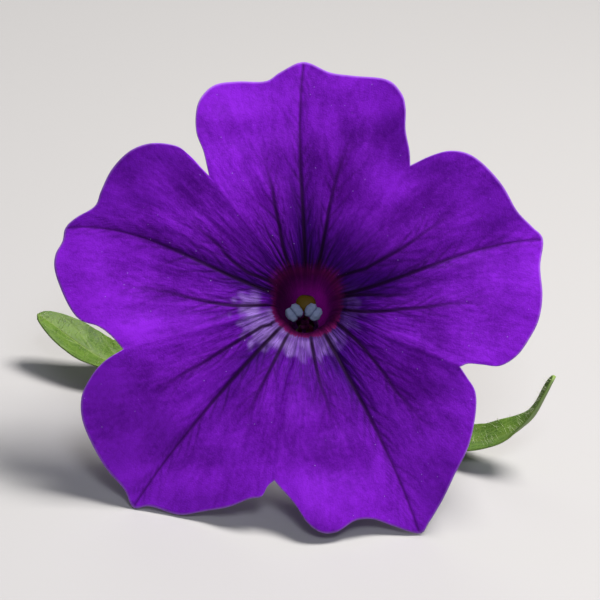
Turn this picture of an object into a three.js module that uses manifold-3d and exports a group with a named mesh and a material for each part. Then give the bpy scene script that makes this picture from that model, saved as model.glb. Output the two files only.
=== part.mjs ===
// A petunia bloom, as picked: the flower on its stalk, with the leaf node that it grew from, lying on a
// flat surface.
//
// The corolla is one grown piece, five petals fused into a flat limb with a funnel and a narrow tube behind
// it. The tube's foot stands in a cup of five sepals, and holds five stamens and the pistil. Behind the cup
// the stalk bends down to a short length of cut stem with a leaf on each side of its node.
//
// Lengths are millimetres and angles degrees. +Z is up, -Y is the side that the bloom faces, and the origin
// is on the surface under the middle of the whole. The flower itself is worked out in its own frame: the
// origin is the point that the petals fan out from, X is to its right and Y up, as seen by somebody who
// looks into it, and Z comes out of the throat.

import * as THREE from "three";
import { mergeVertices } from "three/addons/utils/BufferGeometryUtils.js";
import Module from "manifold-3d";

const wasm = await Module();
wasm.setup();
const { clamp, degToRad, lerp } = THREE.MathUtils;

// How the bloom lies: its face looks up from the horizontal, and is turned until both lower lobes touch
// down.
const FACE_TILT = 25;
const FACE_TURN = 5.75;

// Corolla: the tube and funnel, as the mid-surface of the petal tissue.
const PETAL_THICKNESS = 0.7;
const THROAT_RADIUS = 5.3;
const THROAT_DROP = 0.35; // how far the throat's ring lies below the point that the petals fan out from
const TUBE_LENGTH = 28;
const TUBE_FOOT_RADIUS = 1.7;
const TUBE_TAPER = 0.7; // under 1, the tube keeps its width for longer and narrows towards the foot
const FUNNEL_WIDENING = 1.8; // how much of the throat's radius is gained in the last millimetres
const FUNNEL_DEPTH = 3.6;
const TUBE_DROOP = 0.17; // slope of the tube against the face's axis, reached a few millimetres in
const TUBE_DROOP_DEPTH = 3;
const RIB_DEPTH = 0.3; // the midribs run on into the tube as shallow grooves
const RIB_REACH = 4; // how far down the grooves are deepest

// Corolla: the limb, as a shallow dish with a crease along each midrib and a ridge along each join between
// petals.
const DISH_HEIGHT = 3.36;
const DISH_FLARE = 4.16;
const RECURVE_FROM = 17;
const RECURVE = 0.001;
const CREASE_START = 2.5; // the radius from which the creases deepen outwards
const CREASE_SINK = 0.069; // how far a midrib lies below the dish, per millimetre from there
const PLEAT_ROUNDNESS = -0.25; // 0 is a straight slope from a midrib to a join, and less is hollower
const RUFFLE_SHARPNESS = 5; // how quickly the ruffles die out from the rim inwards
const RUFFLES_PER_PETAL = 2.5;

// Each petal has the direction of its midrib at the throat, half way out and at the tip, in degrees
// anticlockwise from the right; how far its clockwise and its anticlockwise join rise above the midrib, per
// millimetre out; the height of its ruffles and their phase in degrees; and its rim, [degrees, radius], from
// the notch on its clockwise side round to the next one.
const PETALS = [
  {
    name: "top",
    midrib: [91, 92.3, 90.5],
    crease: [0.225, 0.166],
    ruffle: [0.5, 82],
    rim: [
      [52.2, 21.5], [55.5, 23], [59.8, 24.9], [62.7, 27.3], [65.4, 28.8], [70, 29.7], [78, 29.1],
      [84, 29.1], [90.5, 30.3], [96.3, 29.2], [100.5, 28.3], [107.6, 29.1], [113, 29.6], [117.5, 28.8],
      [120.6, 27.3], [123.2, 25.2], [124.4, 23], [126, 21.4], [128, 19.9],
    ],
  },
  {
    name: "left",
    midrib: [166, 159, 163.3],
    crease: [0.166, 0.162],
    ruffle: [0.13, 84],
    rim: [
      [128, 19.9], [128.5, 21.5], [128.9, 23.6], [130.2, 25.5], [134.6, 27.8], [139.8, 29.2],
      [146, 29.7], [152, 29.5], [156, 29.4], [160.3, 31.1], [163.3, 32], [166.5, 31.9], [170, 32.4],
      [174, 32], [180.5, 30.3], [184.9, 28.7], [187.2, 26.4], [190.5, 24.9], [195.1, 23.8],
    ],
  },
  {
    name: "lower_left",
    midrib: [226.6, 227.7, 230.2],
    crease: [0.162, 0.181],
    ruffle: [0.39, 109],
    rim: [
      [195.1, 23.8], [197, 26.6], [200, 29], [204, 31.1], [210, 32.4], [219.3, 33.2], [226, 33.4],
      [230.2, 34.4], [233, 32.9], [239.4, 31.7], [244.6, 29.6], [249.5, 27.9], [254, 26.1],
      [257.2, 25.4], [258.3, 24], [260, 23.1],
    ],
  },
  {
    name: "lower_right",
    midrib: [299, 298.3, 295.9],
    crease: [0.181, 0.14],
    ruffle: [0.46, 264],
    rim: [
      [260, 23.1], [262.5, 24], [266.7, 25.7], [270.5, 28.1], [274, 29.4], [277.8, 29.5], [282.5, 28.6],
      [287, 29.1], [291, 30.8], [295.9, 33.1], [299, 32.4], [304, 30.9], [310, 29.2], [318, 27.7],
      [326, 25.9], [331.5, 24.4], [334.3, 22.6], [336.5, 21.2],
    ],
  },
  {
    name: "right",
    midrib: [369, 375.8, 374.3],
    crease: [0.14, 0.225],
    ruffle: [0.51, 257],
    rim: [
      [336.5, 21.2], [338.6, 22], [339.8, 23.6], [341.2, 25.9], [345.1, 27.6], [350, 28.7], [355, 29.6],
      [361, 30], [368, 30.1], [374.3, 31.2], [378, 30.3], [383, 29.1], [390, 28.8], [397, 28.3],
      [402, 27.6], [406, 26.2], [409, 24.2], [412.2, 21.5],
    ],
  },
];

// Where the limb swells towards the eye, or sinks from it: [x, y, radius, height].
const SWELLS = [
  [3, -26, 5, 0.8],
  [-25, -4, 6, 1.5],
  [12, 17, 6, -1.5],
  [-4, -19, 4, 0.3],
  [-16, 7, 5.5, 1.5],
  [-18, -13, 5.5, 1.5],
  [0, -29, 4, 1.5],
  [14, 5, 5.5, 1.1],
];

// Steps of the corolla's faceted mesh.
const RIM_STEP = 2.6;
const TUBE_ROWS = [28, 22.5, 17, 12, 8, 5, 3, 1.6, 0.6];
const LIMB_ROWS = [0, 0.07, 0.16, 0.27, 0.4, 0.54, 0.68, 0.81, 0.92, 1];

// Calyx, measured along the tube from the corolla's foot: the cup, and the five sepals that stand on its
// rim.
const SEAT_GAP = 0.3;
const CUP_RADIUS = 2.9; // inside
const CUP_WALL = 0.6;
const CUP_HEIGHT = 2.2;
const RECEPTACLE_DEPTH = 3;
const SEPAL_COUNT = 5;
const SEPAL_ROOT = 1.2; // how far each is sunk in the cup's wall
const SEPAL_LENGTH = 15;
const SEPAL_WIDTH = 3.4;
const SEPAL_THICKNESS = 0.7;
const SEPAL_SPREAD = 24;
const SEPAL_CURL = 26; // how much further the tip leans out than the root

// Stamens: each rises from near the tube's wall and ends in a two-lobed anther.
const FILAMENT_RADIUS = [0.38, 0.3];
const FILAMENT_FOOT_DEPTH = 20;
const ANTHER_LOBE = [0.6, 1.08, 0.6]; // half width, half length and half thickness
const ANTHER_LOBE_SPREAD = 0.47;
const STAMENS = [
  // foot: which way from the tube's axis; anther: where; lean: how far it is turned; scale: of the anther
  { foot: 196, anther: [-1.55, -1.65, -8], lean: 38, scale: 1 },
  { foot: 336, anther: [0.96, -1.6, -8.1], lean: -38, scale: 1 },
  { foot: 260, anther: [-0.15, -3.25, -15.6], lean: 90, scale: 0.62 },
  { foot: 128, anther: [-1.23, -1.56, -14.9], lean: 30, scale: 0.7 },
  { foot: 52, anther: [1.25, -2.05, -16.6], lean: -30, scale: 0.64 },
];

// Pistil: ovary, style and stigma, [distance from the receptacle, radius].
const PISTIL = [
  [0, 0.8], [0.7, 1.02], [2, 1.1], [3.4, 0.9], [4.4, 0.5], [6, 0.36], [11, 0.34], [16.6, 0.36], [17.2, 0.8],
  [17.7, 1.25], [18.2, 1.3], [18.6, 0.9],
];
const STIGMA_RISE = 1.2; // how far the style leans up to the stigma

// Stalk and stem, both round. The stalk meets a short boss on the node, face to face.
const STALK_RADIUS = [1.0, 0.85];
const STALK_REACH = 22; // from the calyx back to the node, along the surface
const STALK_RISE = 20; // the way that the boss points, above the surface
const BOSS_LENGTH = 3; // from the middle of the node
const STEM_RADIUS = 1.3;
const NODE_RADIUS = 1.9;
const STEM_LENGTH = 22;
const STEM_SWING = 4; // how far the cut end lies to the right of the node
const TIP_RADIUS = 0.9; // the stub of the pinched-out tip
const TIP_LENGTH = 4.2;

// Leaves, as [x, y, z] of the midrib from the node outwards, measured from under the middle of the node.
const LEAF_THICKNESS = 0.7;
const LEAVES = [
  {
    name: "leaf_left",
    midrib: [[-2.7, -0.4, 1.9], [-12.5, -14, 1.9], [-25.5, -25, 2.4], [-37, -23, 7.6]],
    width: 12,
    trough: 1.4,
    roll: -6,
  },
  {
    name: "leaf_right",
    midrib: [[2.7, -0.6, 1.9], [11, -21, 1.9], [22.5, -38, 2.4], [30, -40.5, 7.4], [33, -41, 15]],
    width: 8,
    trough: 1,
    roll: 6,
  },
];
const LEAF_POINTS = [0.9, 0.45]; // how pointed a blade is at its foot and at its tip; less is blunter
const LEAF_WAVES = 3;
const LEAF_WAVE_HEIGHT = 0.5;

// ---- Solids ----

/** A manifold-3d solid from a closed geometry. */
function toSolid(geometry) {
  const plain = geometry.clone();
  plain.deleteAttribute("normal");
  plain.deleteAttribute("uv");
  const merged = mergeVertices(plain, 1e-4);
  return new wasm.Manifold(
    new wasm.Mesh({
      numProp: 3,
      vertProperties: merged.attributes.position.array,
      triVerts: new Uint32Array(merged.index.array),
    }),
  );
}

/** A geometry from a manifold-3d solid. */
function toGeometry(solid) {
  const mesh = solid.getMesh();
  const positions = new Float32Array(mesh.numVert * 3);
  for (let i = 0; i < mesh.numVert; i++) {
    positions.set(mesh.vertProperties.subarray(i * mesh.numProp, i * mesh.numProp + 3), i * 3);
  }
  const geometry = new THREE.BufferGeometry();
  geometry.setAttribute("position", new THREE.BufferAttribute(positions, 3));
  geometry.setIndex(new THREE.BufferAttribute(mesh.triVerts, 1));
  return geometry;
}

/** The geometries joined into one body. */
function fuse(geometries) {
  return toGeometry(geometries.map(toSolid).reduce((whole, piece) => whole.add(piece)));
}

/** An indexed geometry of points and triangles. */
function meshOf(points, triangles) {
  const geometry = new THREE.BufferGeometry().setFromPoints(points);
  geometry.setIndex(triangles.flat());
  return geometry;
}

/**
 * A sheet of even thickness round a grid of points, rows by columns. Both faces have the same triangles.
 * The face that looks along row x column is the front. With round, the last column joins the first.
 */
function thicken(grid, thickness, round = false) {
  const rows = grid.length;
  const columns = grid[0].length;
  const at = (i, j) => grid[i][round ? (j + columns) % columns : clamp(j, 0, columns - 1)];
  const normal = (i, j) => {
    const along = at(Math.min(i + 1, rows - 1), j).clone().sub(at(Math.max(i - 1, 0), j));
    return along.cross(at(i, j + 1).clone().sub(at(i, j - 1))).normalize();
  };
  const layer = (side) =>
    grid.flatMap((row, i) =>
      row.map((p, j) => p.clone().addScaledVector(normal(i, j), (side * thickness) / 2)),
    );
  const front = (i, j) => i * columns + (j % columns);
  const back = (i, j) => rows * columns + front(i, j);
  const triangles = [];
  const quad = (a, b, c, d) => triangles.push([a, b, c], [a, c, d]);
  const spans = round ? columns : columns - 1;
  for (let j = 0; j < spans; j++) {
    for (let i = 0; i < rows - 1; i++) {
      quad(front(i, j), front(i + 1, j), front(i + 1, j + 1), front(i, j + 1));
      triangles.push([back(i, j), back(i + 1, j + 1), back(i + 1, j)]);
      triangles.push([back(i, j), back(i, j + 1), back(i + 1, j + 1)]);
    }
    const last = rows - 1;
    quad(front(last, j), back(last, j), back(last, j + 1), front(last, j + 1));
    quad(front(0, j), front(0, j + 1), back(0, j + 1), back(0, j));
  }
  for (let i = 0; !round && i < rows - 1; i++) {
    const last = columns - 1;
    quad(front(i, last), front(i + 1, last), back(i + 1, last), back(i, last));
    quad(front(i, 0), back(i, 0), back(i + 1, 0), front(i + 1, 0));
  }
  return meshOf([...layer(1), ...layer(-1)], triangles);
}

/** A round rod along points, with a radius at each and flat ends. */
function rod(points, radii, sides) {
  const tangents = points.map((_, i) =>
    points[Math.min(i + 1, points.length - 1)].clone().sub(points[Math.max(i - 1, 0)]).normalize(),
  );
  let across = new THREE.Vector3(1, 0, 0);
  const vertices = points.flatMap((p, i) => {
    across.addScaledVector(tangents[i], -across.dot(tangents[i])).normalize();
    const over = tangents[i].clone().cross(across);
    return Array.from({ length: sides }, (_, k) => {
      const a = ((k + 0.5) * 2 * Math.PI) / sides;
      const rim = p.clone().addScaledVector(across, radii[i] * Math.cos(a));
      return rim.addScaledVector(over, radii[i] * Math.sin(a));
    });
  });
  const first = vertices.push(points[0].clone()) - 1;
  const last = vertices.push(points[points.length - 1].clone()) - 1;
  const at = (i, k) => i * sides + (k % sides);
  const triangles = [];
  for (let k = 0; k < sides; k++) {
    for (let i = 0; i < points.length - 1; i++) {
      triangles.push([at(i, k), at(i, k + 1), at(i + 1, k + 1)]);
      triangles.push([at(i, k), at(i + 1, k + 1), at(i + 1, k)]);
    }
    triangles.push([first, at(0, k + 1), at(0, k)]);
    triangles.push([last, at(points.length - 1, k), at(points.length - 1, k + 1)]);
  }
  return meshOf(vertices, triangles);
}

/** count + 1 points, evenly spaced along the smooth curve through corners. */
function smooth(corners, count) {
  const points = corners.map((c) => (Array.isArray(c) ? new THREE.Vector3(...c) : c));
  return new THREE.CatmullRomCurve3(points).getSpacedPoints(count);
}

// ---- Corolla ----

const tubeRadius = (depth) =>
  TUBE_FOOT_RADIUS +
  (THROAT_RADIUS - TUBE_FOOT_RADIUS - FUNNEL_WIDENING) * (1 - depth / TUBE_LENGTH) ** TUBE_TAPER +
  FUNNEL_WIDENING * Math.exp(-depth / FUNNEL_DEPTH);

const tubeSlope = (depth) => TUBE_DROOP * (1 - Math.exp(-depth / TUBE_DROOP_DEPTH));

/** The tube's axis at a depth behind the throat. */
function tubeAxis(depth) {
  const droop = TUBE_DROOP * (depth - TUBE_DROOP_DEPTH * (1 - Math.exp(-depth / TUBE_DROOP_DEPTH)));
  return new THREE.Vector3(0, -THROAT_DROP - droop, -depth);
}

/** The point at a direction and distance from the tube's axis, square to it. */
function inTube(depth, degrees, radius) {
  const up = new THREE.Vector3(0, 1, -tubeSlope(depth)).normalize();
  const a = degToRad(degrees);
  const right = new THREE.Vector3(radius * Math.cos(a), 0, 0);
  return tubeAxis(depth).add(right).addScaledVector(up, radius * Math.sin(a));
}

/** The value at share u of a quantity given at 0, 1/2 and 1. */
const through = ([a, b, c], u) => a * (1 - u) * (1 - 2 * u) + 4 * b * u * (1 - u) + c * u * (2 * u - 1);

/** The crease's section: 0 on the midrib and 1 on the join, sharp at the midrib and round at the join. */
function pleat(share) {
  const s = Math.abs(share);
  return s + PLEAT_ROUNDNESS * (Math.sin((s * Math.PI) / 2) - s);
}

/** The columns of the corolla's mesh, each with its petal, place on the rim and share of the petal. */
function rimColumns() {
  return PETALS.flatMap((petal) => {
    const corners = petal.rim.map(
      ([a, r]) => new THREE.Vector3(r * Math.cos(degToRad(a)), r * Math.sin(degToRad(a)), 0),
    );
    const curve = new THREE.CatmullRomCurve3(corners, false, "catmullrom", 0.5);
    const start = petal.rim[0][0];
    const end = petal.rim[petal.rim.length - 1][0];
    const tip = petal.midrib[2];
    return corners.slice(1).flatMap((corner, i) => {
      const steps = Math.max(1, Math.round(corner.distanceTo(corners[i]) / RIM_STEP));
      return Array.from({ length: steps }, (_, k) => {
        const p = curve.getPoint((i + k / steps) / (corners.length - 1));
        const raw = (Math.atan2(p.y, p.x) * 180) / Math.PI;
        const degrees = raw + 360 * Math.round((tip - raw) / 360);
        const share = degrees > tip ? (degrees - tip) / (end - tip) : (degrees - tip) / (tip - start);
        return { petal, degrees, radius: Math.hypot(p.x, p.y), share };
      });
    });
  });
}

/** How far the limb swells towards the eye at a place. */
function swell(x, y) {
  const bump = ([sx, sy, size, height]) => height * Math.exp(-((x - sx) ** 2 + (y - sy) ** 2) / size ** 2);
  return SWELLS.reduce((sum, place) => sum + bump(place), 0);
}

/** The direction, in radians, of a column at share u of the way from the throat to the rim. */
function columnWay({ petal, degrees, share }, u) {
  return degToRad(degrees + (through(petal.midrib, u) - petal.midrib[2]) * (1 - Math.abs(share)));
}

/** The distance at which a column leaves the throat's ring. */
const throatReach = ({ degrees }) => THROAT_RADIUS - THROAT_DROP * Math.sin(degToRad(degrees));

/** How far a column lies above the dish, by its petal's crease, at a distance out. */
function creaseHeight({ petal, share }, r) {
  return (petal.crease[share > 0 ? 1 : 0] * pleat(share) - CREASE_SINK) * (r - CREASE_START);
}

/** The limb's mid-surface on a column, at share u of the way from the throat to the rim. */
function limbPoint(column, u) {
  const throat = throatReach(column);
  const r = lerp(throat, column.radius, u);
  const a = columnWay(column, u);
  const x = r * Math.cos(a);
  const y = r * Math.sin(a);
  const rise = DISH_HEIGHT * (1 - Math.exp((throat - r) / DISH_FLARE));
  const dish = rise - RECURVE * Math.max(0, r - RECURVE_FROM) ** 2;
  const [ruffleHeight, phase] = column.petal.ruffle;
  const wave = Math.sin(Math.PI * RUFFLES_PER_PETAL * column.share + degToRad(phase));
  const ruffle = ruffleHeight * u ** RUFFLE_SHARPNESS * wave;
  return new THREE.Vector3(x, y, dish + creaseHeight(column, r) + ruffle + swell(x, y));
}

/** The tube's mid-surface on a column, at a depth behind the throat. Its top meets the limb's foot. */
function tubePoint(column, depth) {
  const throat = throatReach(column);
  const a = columnWay(column, 0);
  const around = Math.atan2(throat * Math.sin(a) + THROAT_DROP, throat * Math.cos(a));
  const deep = (depth / RIB_REACH) * Math.exp(1 - depth / RIB_REACH);
  const groove = RIB_DEPTH * (1 - pleat(column.share)) * deep;
  const point = inTube(depth, (around * 180) / Math.PI, tubeRadius(depth) - groove);
  point.z += creaseHeight(column, throat) * Math.exp(-depth / FUNNEL_DEPTH);
  return point;
}

function corollaGeometry() {
  const columns = rimColumns();
  const tube = TUBE_ROWS.map((depth) => columns.map((column) => tubePoint(column, depth)));
  const limb = LIMB_ROWS.map((u) => columns.map((column) => limbPoint(column, u)));
  return thicken([...tube, ...limb], PETAL_THICKNESS, true);
}

// ---- What stands in the calyx ----

/** A sepal that stands up from the cup's rim, over +X, and leans out. */
function sepalGeometry(length) {
  const rows = 9;
  const columns = 5;
  const step = length / (rows - 1);
  let r = CUP_RADIUS + CUP_WALL / 2;
  let z = CUP_HEIGHT - SEPAL_ROOT;
  const grid = Array.from({ length: rows }, (_, i) => {
    const t = i / (rows - 1);
    const lean = degToRad(t < 0.1 ? 2 : SEPAL_SPREAD + SEPAL_CURL * t);
    if (i) {
      r += step * Math.sin(lean);
      z += step * Math.cos(lean);
    }
    const belly = 0.72 + 0.28 * Math.sin(Math.PI * Math.min(1, 1.5 * t));
    const half = (SEPAL_WIDTH / 2) * belly * Math.sqrt(1 - 0.8 * t ** 6);
    return Array.from({ length: columns }, (_, j) => {
      const across = (2 * j) / (columns - 1) - 1;
      const trough = 0.35 * across ** 2;
      return new THREE.Vector3(r - trough * Math.cos(lean), half * across, z + trough * Math.sin(lean));
    });
  });
  return thicken(grid, SEPAL_THICKNESS);
}

function calyxGeometry() {
  const outside = CUP_RADIUS + CUP_WALL;
  const profile = [
    [0, -RECEPTACLE_DEPTH], [STALK_RADIUS[0] + 0.1, -RECEPTACLE_DEPTH], [STALK_RADIUS[0] + 0.7, -2],
    [outside - 0.8, -1], [outside - 0.2, 0], [outside, 1], [outside, CUP_HEIGHT], [CUP_RADIUS, CUP_HEIGHT],
    [CUP_RADIUS, -SEAT_GAP], [0, -SEAT_GAP],
  ];
  const section = profile.map(([r, z]) => new THREE.Vector2(r, z));
  const cup = new THREE.LatheGeometry(section, 20).rotateX(Math.PI / 2);
  const sepals = Array.from({ length: SEPAL_COUNT }, (_, k) => {
    const length = SEPAL_LENGTH * (1 + 0.08 * Math.sin(2.4 * k));
    return sepalGeometry(length).rotateZ((2 * Math.PI * (k + 0.25)) / SEPAL_COUNT);
  });
  return fuse([cup, ...sepals]);
}

function pistilGeometry() {
  const top = PISTIL[PISTIL.length - 1][0];
  const points = PISTIL.map(([z]) => new THREE.Vector3(0, STIGMA_RISE * (z / top) ** 2, z));
  return rod(points, PISTIL.map(([, r]) => r), 10);
}

/** A stamen: a filament that rises from the tube's wall, and an anther of two lobes across its end. */
function stamenGeometry({ foot, anther, lean, scale }) {
  const wall = (depth) => tubeRadius(depth) - PETAL_THICKNESS / 2 - FILAMENT_RADIUS[0] - SEAT_GAP;
  const head = new THREE.Vector3(...anther);
  const low = FILAMENT_FOOT_DEPTH;
  const start = inTube(low, foot, wall(low));
  const free = inTube(low - 2.4, foot, wall(low - 2.4));
  const neck = head.clone().lerp(free, 0.3);
  const path = smooth([start, free, neck, head], 9);
  const radii = path.map((_, i) => lerp(...FILAMENT_RADIUS, i / (path.length - 1)));
  const lobes = [-1, 1].map((side) =>
    new THREE.SphereGeometry(1, 10, 7)
      .scale(...ANTHER_LOBE)
      .translate(side * ANTHER_LOBE_SPREAD, 0, 0)
      .scale(scale, scale, scale)
      .rotateZ(degToRad(lean))
      .translate(...anther),
  );
  return fuse([rod(path, radii, 6), ...lobes]);
}

// ---- Stalk, stem and leaves ----

/** The way that the boss points from the node, and the stalk leaves it. */
const stalkWay = new THREE.Vector3(0, -Math.cos(degToRad(STALK_RISE)), Math.sin(degToRad(STALK_RISE)));

/** The middle of the swollen node, above the point on the surface that it lies on. */
const nodeMiddle = (node) => node.clone().add(new THREE.Vector3(0, 0, NODE_RADIUS * Math.cos(Math.PI / 10)));

/** The stalk, from the calyx's foot and the way that it points there, down to the boss on the node. */
function stalkGeometry(foot, direction, node) {
  const start = foot.clone().addScaledVector(direction, SEAT_GAP);
  const end = nodeMiddle(node).addScaledVector(stalkWay, BOSS_LENGTH + SEAT_GAP);
  const reach = end.distanceTo(start);
  const bend = new THREE.CubicBezierCurve3(
    start,
    start.clone().addScaledVector(direction, reach * 0.35),
    end.clone().addScaledVector(stalkWay, reach * 0.35),
    end,
  );
  const points = bend.getSpacedPoints(12);
  return rod(points, points.map((_, i) => lerp(...STALK_RADIUS, i / 12)), 10);
}

/** The stem on the surface, from its swollen node to the cut end, with the boss and the pinched-out tip. */
function stemGeometry(node) {
  const steps = [
    [-1.6, NODE_RADIUS * 0.5], [-1.1, NODE_RADIUS * 0.85], [0, NODE_RADIUS], [1.1, NODE_RADIUS * 0.92],
    [2.6, STEM_RADIUS * 1.04], [STEM_LENGTH * 0.4, STEM_RADIUS], [STEM_LENGTH * 0.7, STEM_RADIUS],
    [STEM_LENGTH, STEM_RADIUS],
  ];
  const points = steps.map(([along, r]) => {
    const swing = STEM_SWING * Math.max(0, along / STEM_LENGTH) ** 2;
    return node.clone().add(new THREE.Vector3(swing, along, r * Math.cos(Math.PI / 10)));
  });
  const middle = nodeMiddle(node);
  const bossEnd = middle.clone().addScaledVector(stalkWay, BOSS_LENGTH);
  const boss = rod([middle, bossEnd], [STALK_RADIUS[1] * 1.3, STALK_RADIUS[1]], 10);
  const tipWay = new THREE.Vector3(0.45, -0.35, 0.82).normalize();
  const tipEnd = middle.clone().addScaledVector(tipWay, TIP_LENGTH);
  const tip = rod([middle, tipEnd], [TIP_RADIUS, TIP_RADIUS * 0.8], 8);
  return fuse([rod(points, steps.map(([, r]) => r), 10), boss, tip]);
}

/** A leaf: an oval blade, folded a little along its midrib, on a narrow foot. */
function leafGeometry({ midrib, width, trough, roll }, node) {
  const rows = 13;
  const columns = 7;
  const line = smooth(midrib, rows - 1).map((p) => p.add(node));
  const grid = line.map((p, i) => {
    const t = i / (rows - 1);
    const along = line[Math.min(i + 1, rows - 1)].clone().sub(line[Math.max(i - 1, 0)]).normalize();
    const across = new THREE.Vector3(0, 0, 1).cross(along).normalize();
    const up = along.clone().cross(across);
    across.applyAxisAngle(along, degToRad(roll));
    up.applyAxisAngle(along, degToRad(roll));
    const blade = Math.sin(Math.PI * t ** 0.85) ** lerp(...LEAF_POINTS, t);
    const half = (width / 2) * Math.max(blade, t < 0.5 ? 0.14 : 0.1);
    return Array.from({ length: columns }, (_, j) => {
      const s = (2 * j) / (columns - 1) - 1;
      const wave = LEAF_WAVE_HEIGHT * s ** 3 * Math.sin(2 * Math.PI * LEAF_WAVES * t) * blade;
      const lift = trough * blade * Math.abs(s) ** 1.3 + wave;
      return p.clone().addScaledVector(across, half * s).addScaledVector(up, lift);
    });
  });
  return thicken(grid, LEAF_THICKNESS);
}

// ---- Assembly ----

const petal = new THREE.MeshStandardMaterial({ color: 0x5e14a8, roughness: 0.6, metalness: 0 });
const green = new THREE.MeshStandardMaterial({ color: 0x5c7d33, roughness: 0.6, metalness: 0 });
const leafGreen = new THREE.MeshStandardMaterial({ color: 0x517026, roughness: 0.55, metalness: 0 });
const pollen = new THREE.MeshStandardMaterial({ color: 0x8f9cc0, roughness: 0.85, metalness: 0 });
const style = new THREE.MeshStandardMaterial({ color: 0x6d6a2a, roughness: 0.45, metalness: 0 });

/** A named mesh. */
function piece(name, geometry, material) {
  geometry.computeVertexNormals();
  const mesh = new THREE.Mesh(geometry, material);
  mesh.name = name;
  return mesh;
}

/** The flower in its own frame, turned to the way that it lies. */
function makeFlower() {
  const flower = new THREE.Group();
  flower.rotation.set(degToRad(90 - FACE_TILT), 0, degToRad(FACE_TURN));
  flower.add(piece("corolla", corollaGeometry(), petal));
  STAMENS.forEach((stamen, i) => flower.add(piece("stamen_" + (i + 1), stamenGeometry(stamen), pollen)));
  const foot = new THREE.Group();
  foot.name = "foot";
  foot.position.copy(tubeAxis(TUBE_LENGTH));
  foot.rotation.x = -Math.atan(tubeSlope(TUBE_LENGTH));
  foot.add(piece("calyx", calyxGeometry(), green), piece("pistil", pistilGeometry(), style));
  flower.add(foot);
  flower.position.z = -new THREE.Box3().setFromObject(flower, true).min.z;
  flower.updateMatrixWorld(true);
  return flower;
}

/** The whole, with the origin on the surface under its middle. */
function makeBloom() {
  const flower = makeFlower();
  const foot = flower.getObjectByName("foot");
  const calyxFoot = new THREE.Vector3(0, 0, -RECEPTACLE_DEPTH).applyMatrix4(foot.matrixWorld);
  const direction = new THREE.Vector3(0, 0, -1).transformDirection(foot.matrixWorld);
  const node = new THREE.Vector3(calyxFoot.x, calyxFoot.y + STALK_REACH, 0);
  const bloom = new THREE.Group();
  bloom.add(flower);
  bloom.add(piece("stalk", stalkGeometry(calyxFoot, direction, node), green));
  bloom.add(piece("stem", stemGeometry(node), green));
  LEAVES.forEach((leaf) => bloom.add(piece(leaf.name, leafGeometry(leaf, node), leafGreen)));
  const box = new THREE.Box3().setFromObject(bloom, true);
  const middle = box.getCenter(new THREE.Vector3());
  bloom.position.set(-middle.x, -middle.y, -box.min.z);
  return bloom;
}

export default makeBloom();
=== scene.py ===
"""A petunia bloom, as picked: its looks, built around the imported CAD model.

The flower is worked out in its own frame, in millimetres: the origin is the point that the petals fan
out from, X is to the right and Y up, as seen by somebody who looks into the bloom, and Z comes out of the
throat. What lies on the floor is worked out in the CAD model's frame, in millimetres too: Z is up and the
bloom faces -Y. Meshes are written in metres.
"""

from __future__ import annotations

import logging
import math
from collections.abc import Callable, Mapping, Sequence
from dataclasses import dataclass, field
from enum import Enum
from functools import partial

import bpy
import numpy as np
from mathutils import Matrix, Vector

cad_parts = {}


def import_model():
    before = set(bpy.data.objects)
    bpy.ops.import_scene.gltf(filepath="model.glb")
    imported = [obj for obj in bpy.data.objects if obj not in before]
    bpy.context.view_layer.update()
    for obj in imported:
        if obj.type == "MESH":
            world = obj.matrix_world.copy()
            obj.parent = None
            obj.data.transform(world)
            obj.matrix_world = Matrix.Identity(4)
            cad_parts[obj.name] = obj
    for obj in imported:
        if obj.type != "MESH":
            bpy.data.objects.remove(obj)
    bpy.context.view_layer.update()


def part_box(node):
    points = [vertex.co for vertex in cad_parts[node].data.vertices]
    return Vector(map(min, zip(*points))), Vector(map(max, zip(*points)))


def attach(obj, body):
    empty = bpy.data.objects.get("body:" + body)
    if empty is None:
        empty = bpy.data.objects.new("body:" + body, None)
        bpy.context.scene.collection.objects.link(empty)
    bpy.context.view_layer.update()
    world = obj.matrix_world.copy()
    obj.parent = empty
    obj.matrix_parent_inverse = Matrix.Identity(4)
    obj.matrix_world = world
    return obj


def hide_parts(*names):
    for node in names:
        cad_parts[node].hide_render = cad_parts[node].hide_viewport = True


log = logging.getLogger("petunia")

Array = np.ndarray
Node = bpy.types.Node
Socket = bpy.types.NodeSocket
AddNode = Callable[..., Node]

MM = 0.001
BODY = "root"
RIGHT, UP = np.eye(3)[0], np.eye(3)[2]


# ---- Numbers and curves ----


def srgb(colour: str) -> tuple[float, ...]:
    """Turns an sRGB hex colour, "#rrggbb", to linear red, green, blue and an alpha of 1."""
    values = [int(colour[i : i + 2], 16) / 255 for i in (1, 3, 5)]
    return (*(v / 12.92 if v <= 0.04045 else ((v + 0.055) / 1.055) ** 2.4 for v in values), 1.0)


def smoothstep(low: float, high: float, value: Array) -> Array:
    """Rises smoothly from 0 at low to 1 at high."""
    t = np.clip((value - low) / (high - low), 0, 1)
    return t * t * (3 - 2 * t)


def unit(vectors: Array) -> Array:
    """Scales vectors, held along the last axis, to length 1."""
    return vectors / np.maximum(np.linalg.norm(vectors, axis=-1, keepdims=True), 1e-12)


def joined(*parts: Array | float) -> Array:
    """Joins coordinates, whose shapes broadcast, along a new last axis."""
    return np.stack(np.broadcast_arrays(*parts), axis=-1)


def polar(radius: Array | float, angle: Array, *more: Array | float) -> Array:
    """Points at distances and directions, in radians, with further coordinates after x and y."""
    return joined(radius * np.cos(angle), radius * np.sin(angle), *more)


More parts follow.
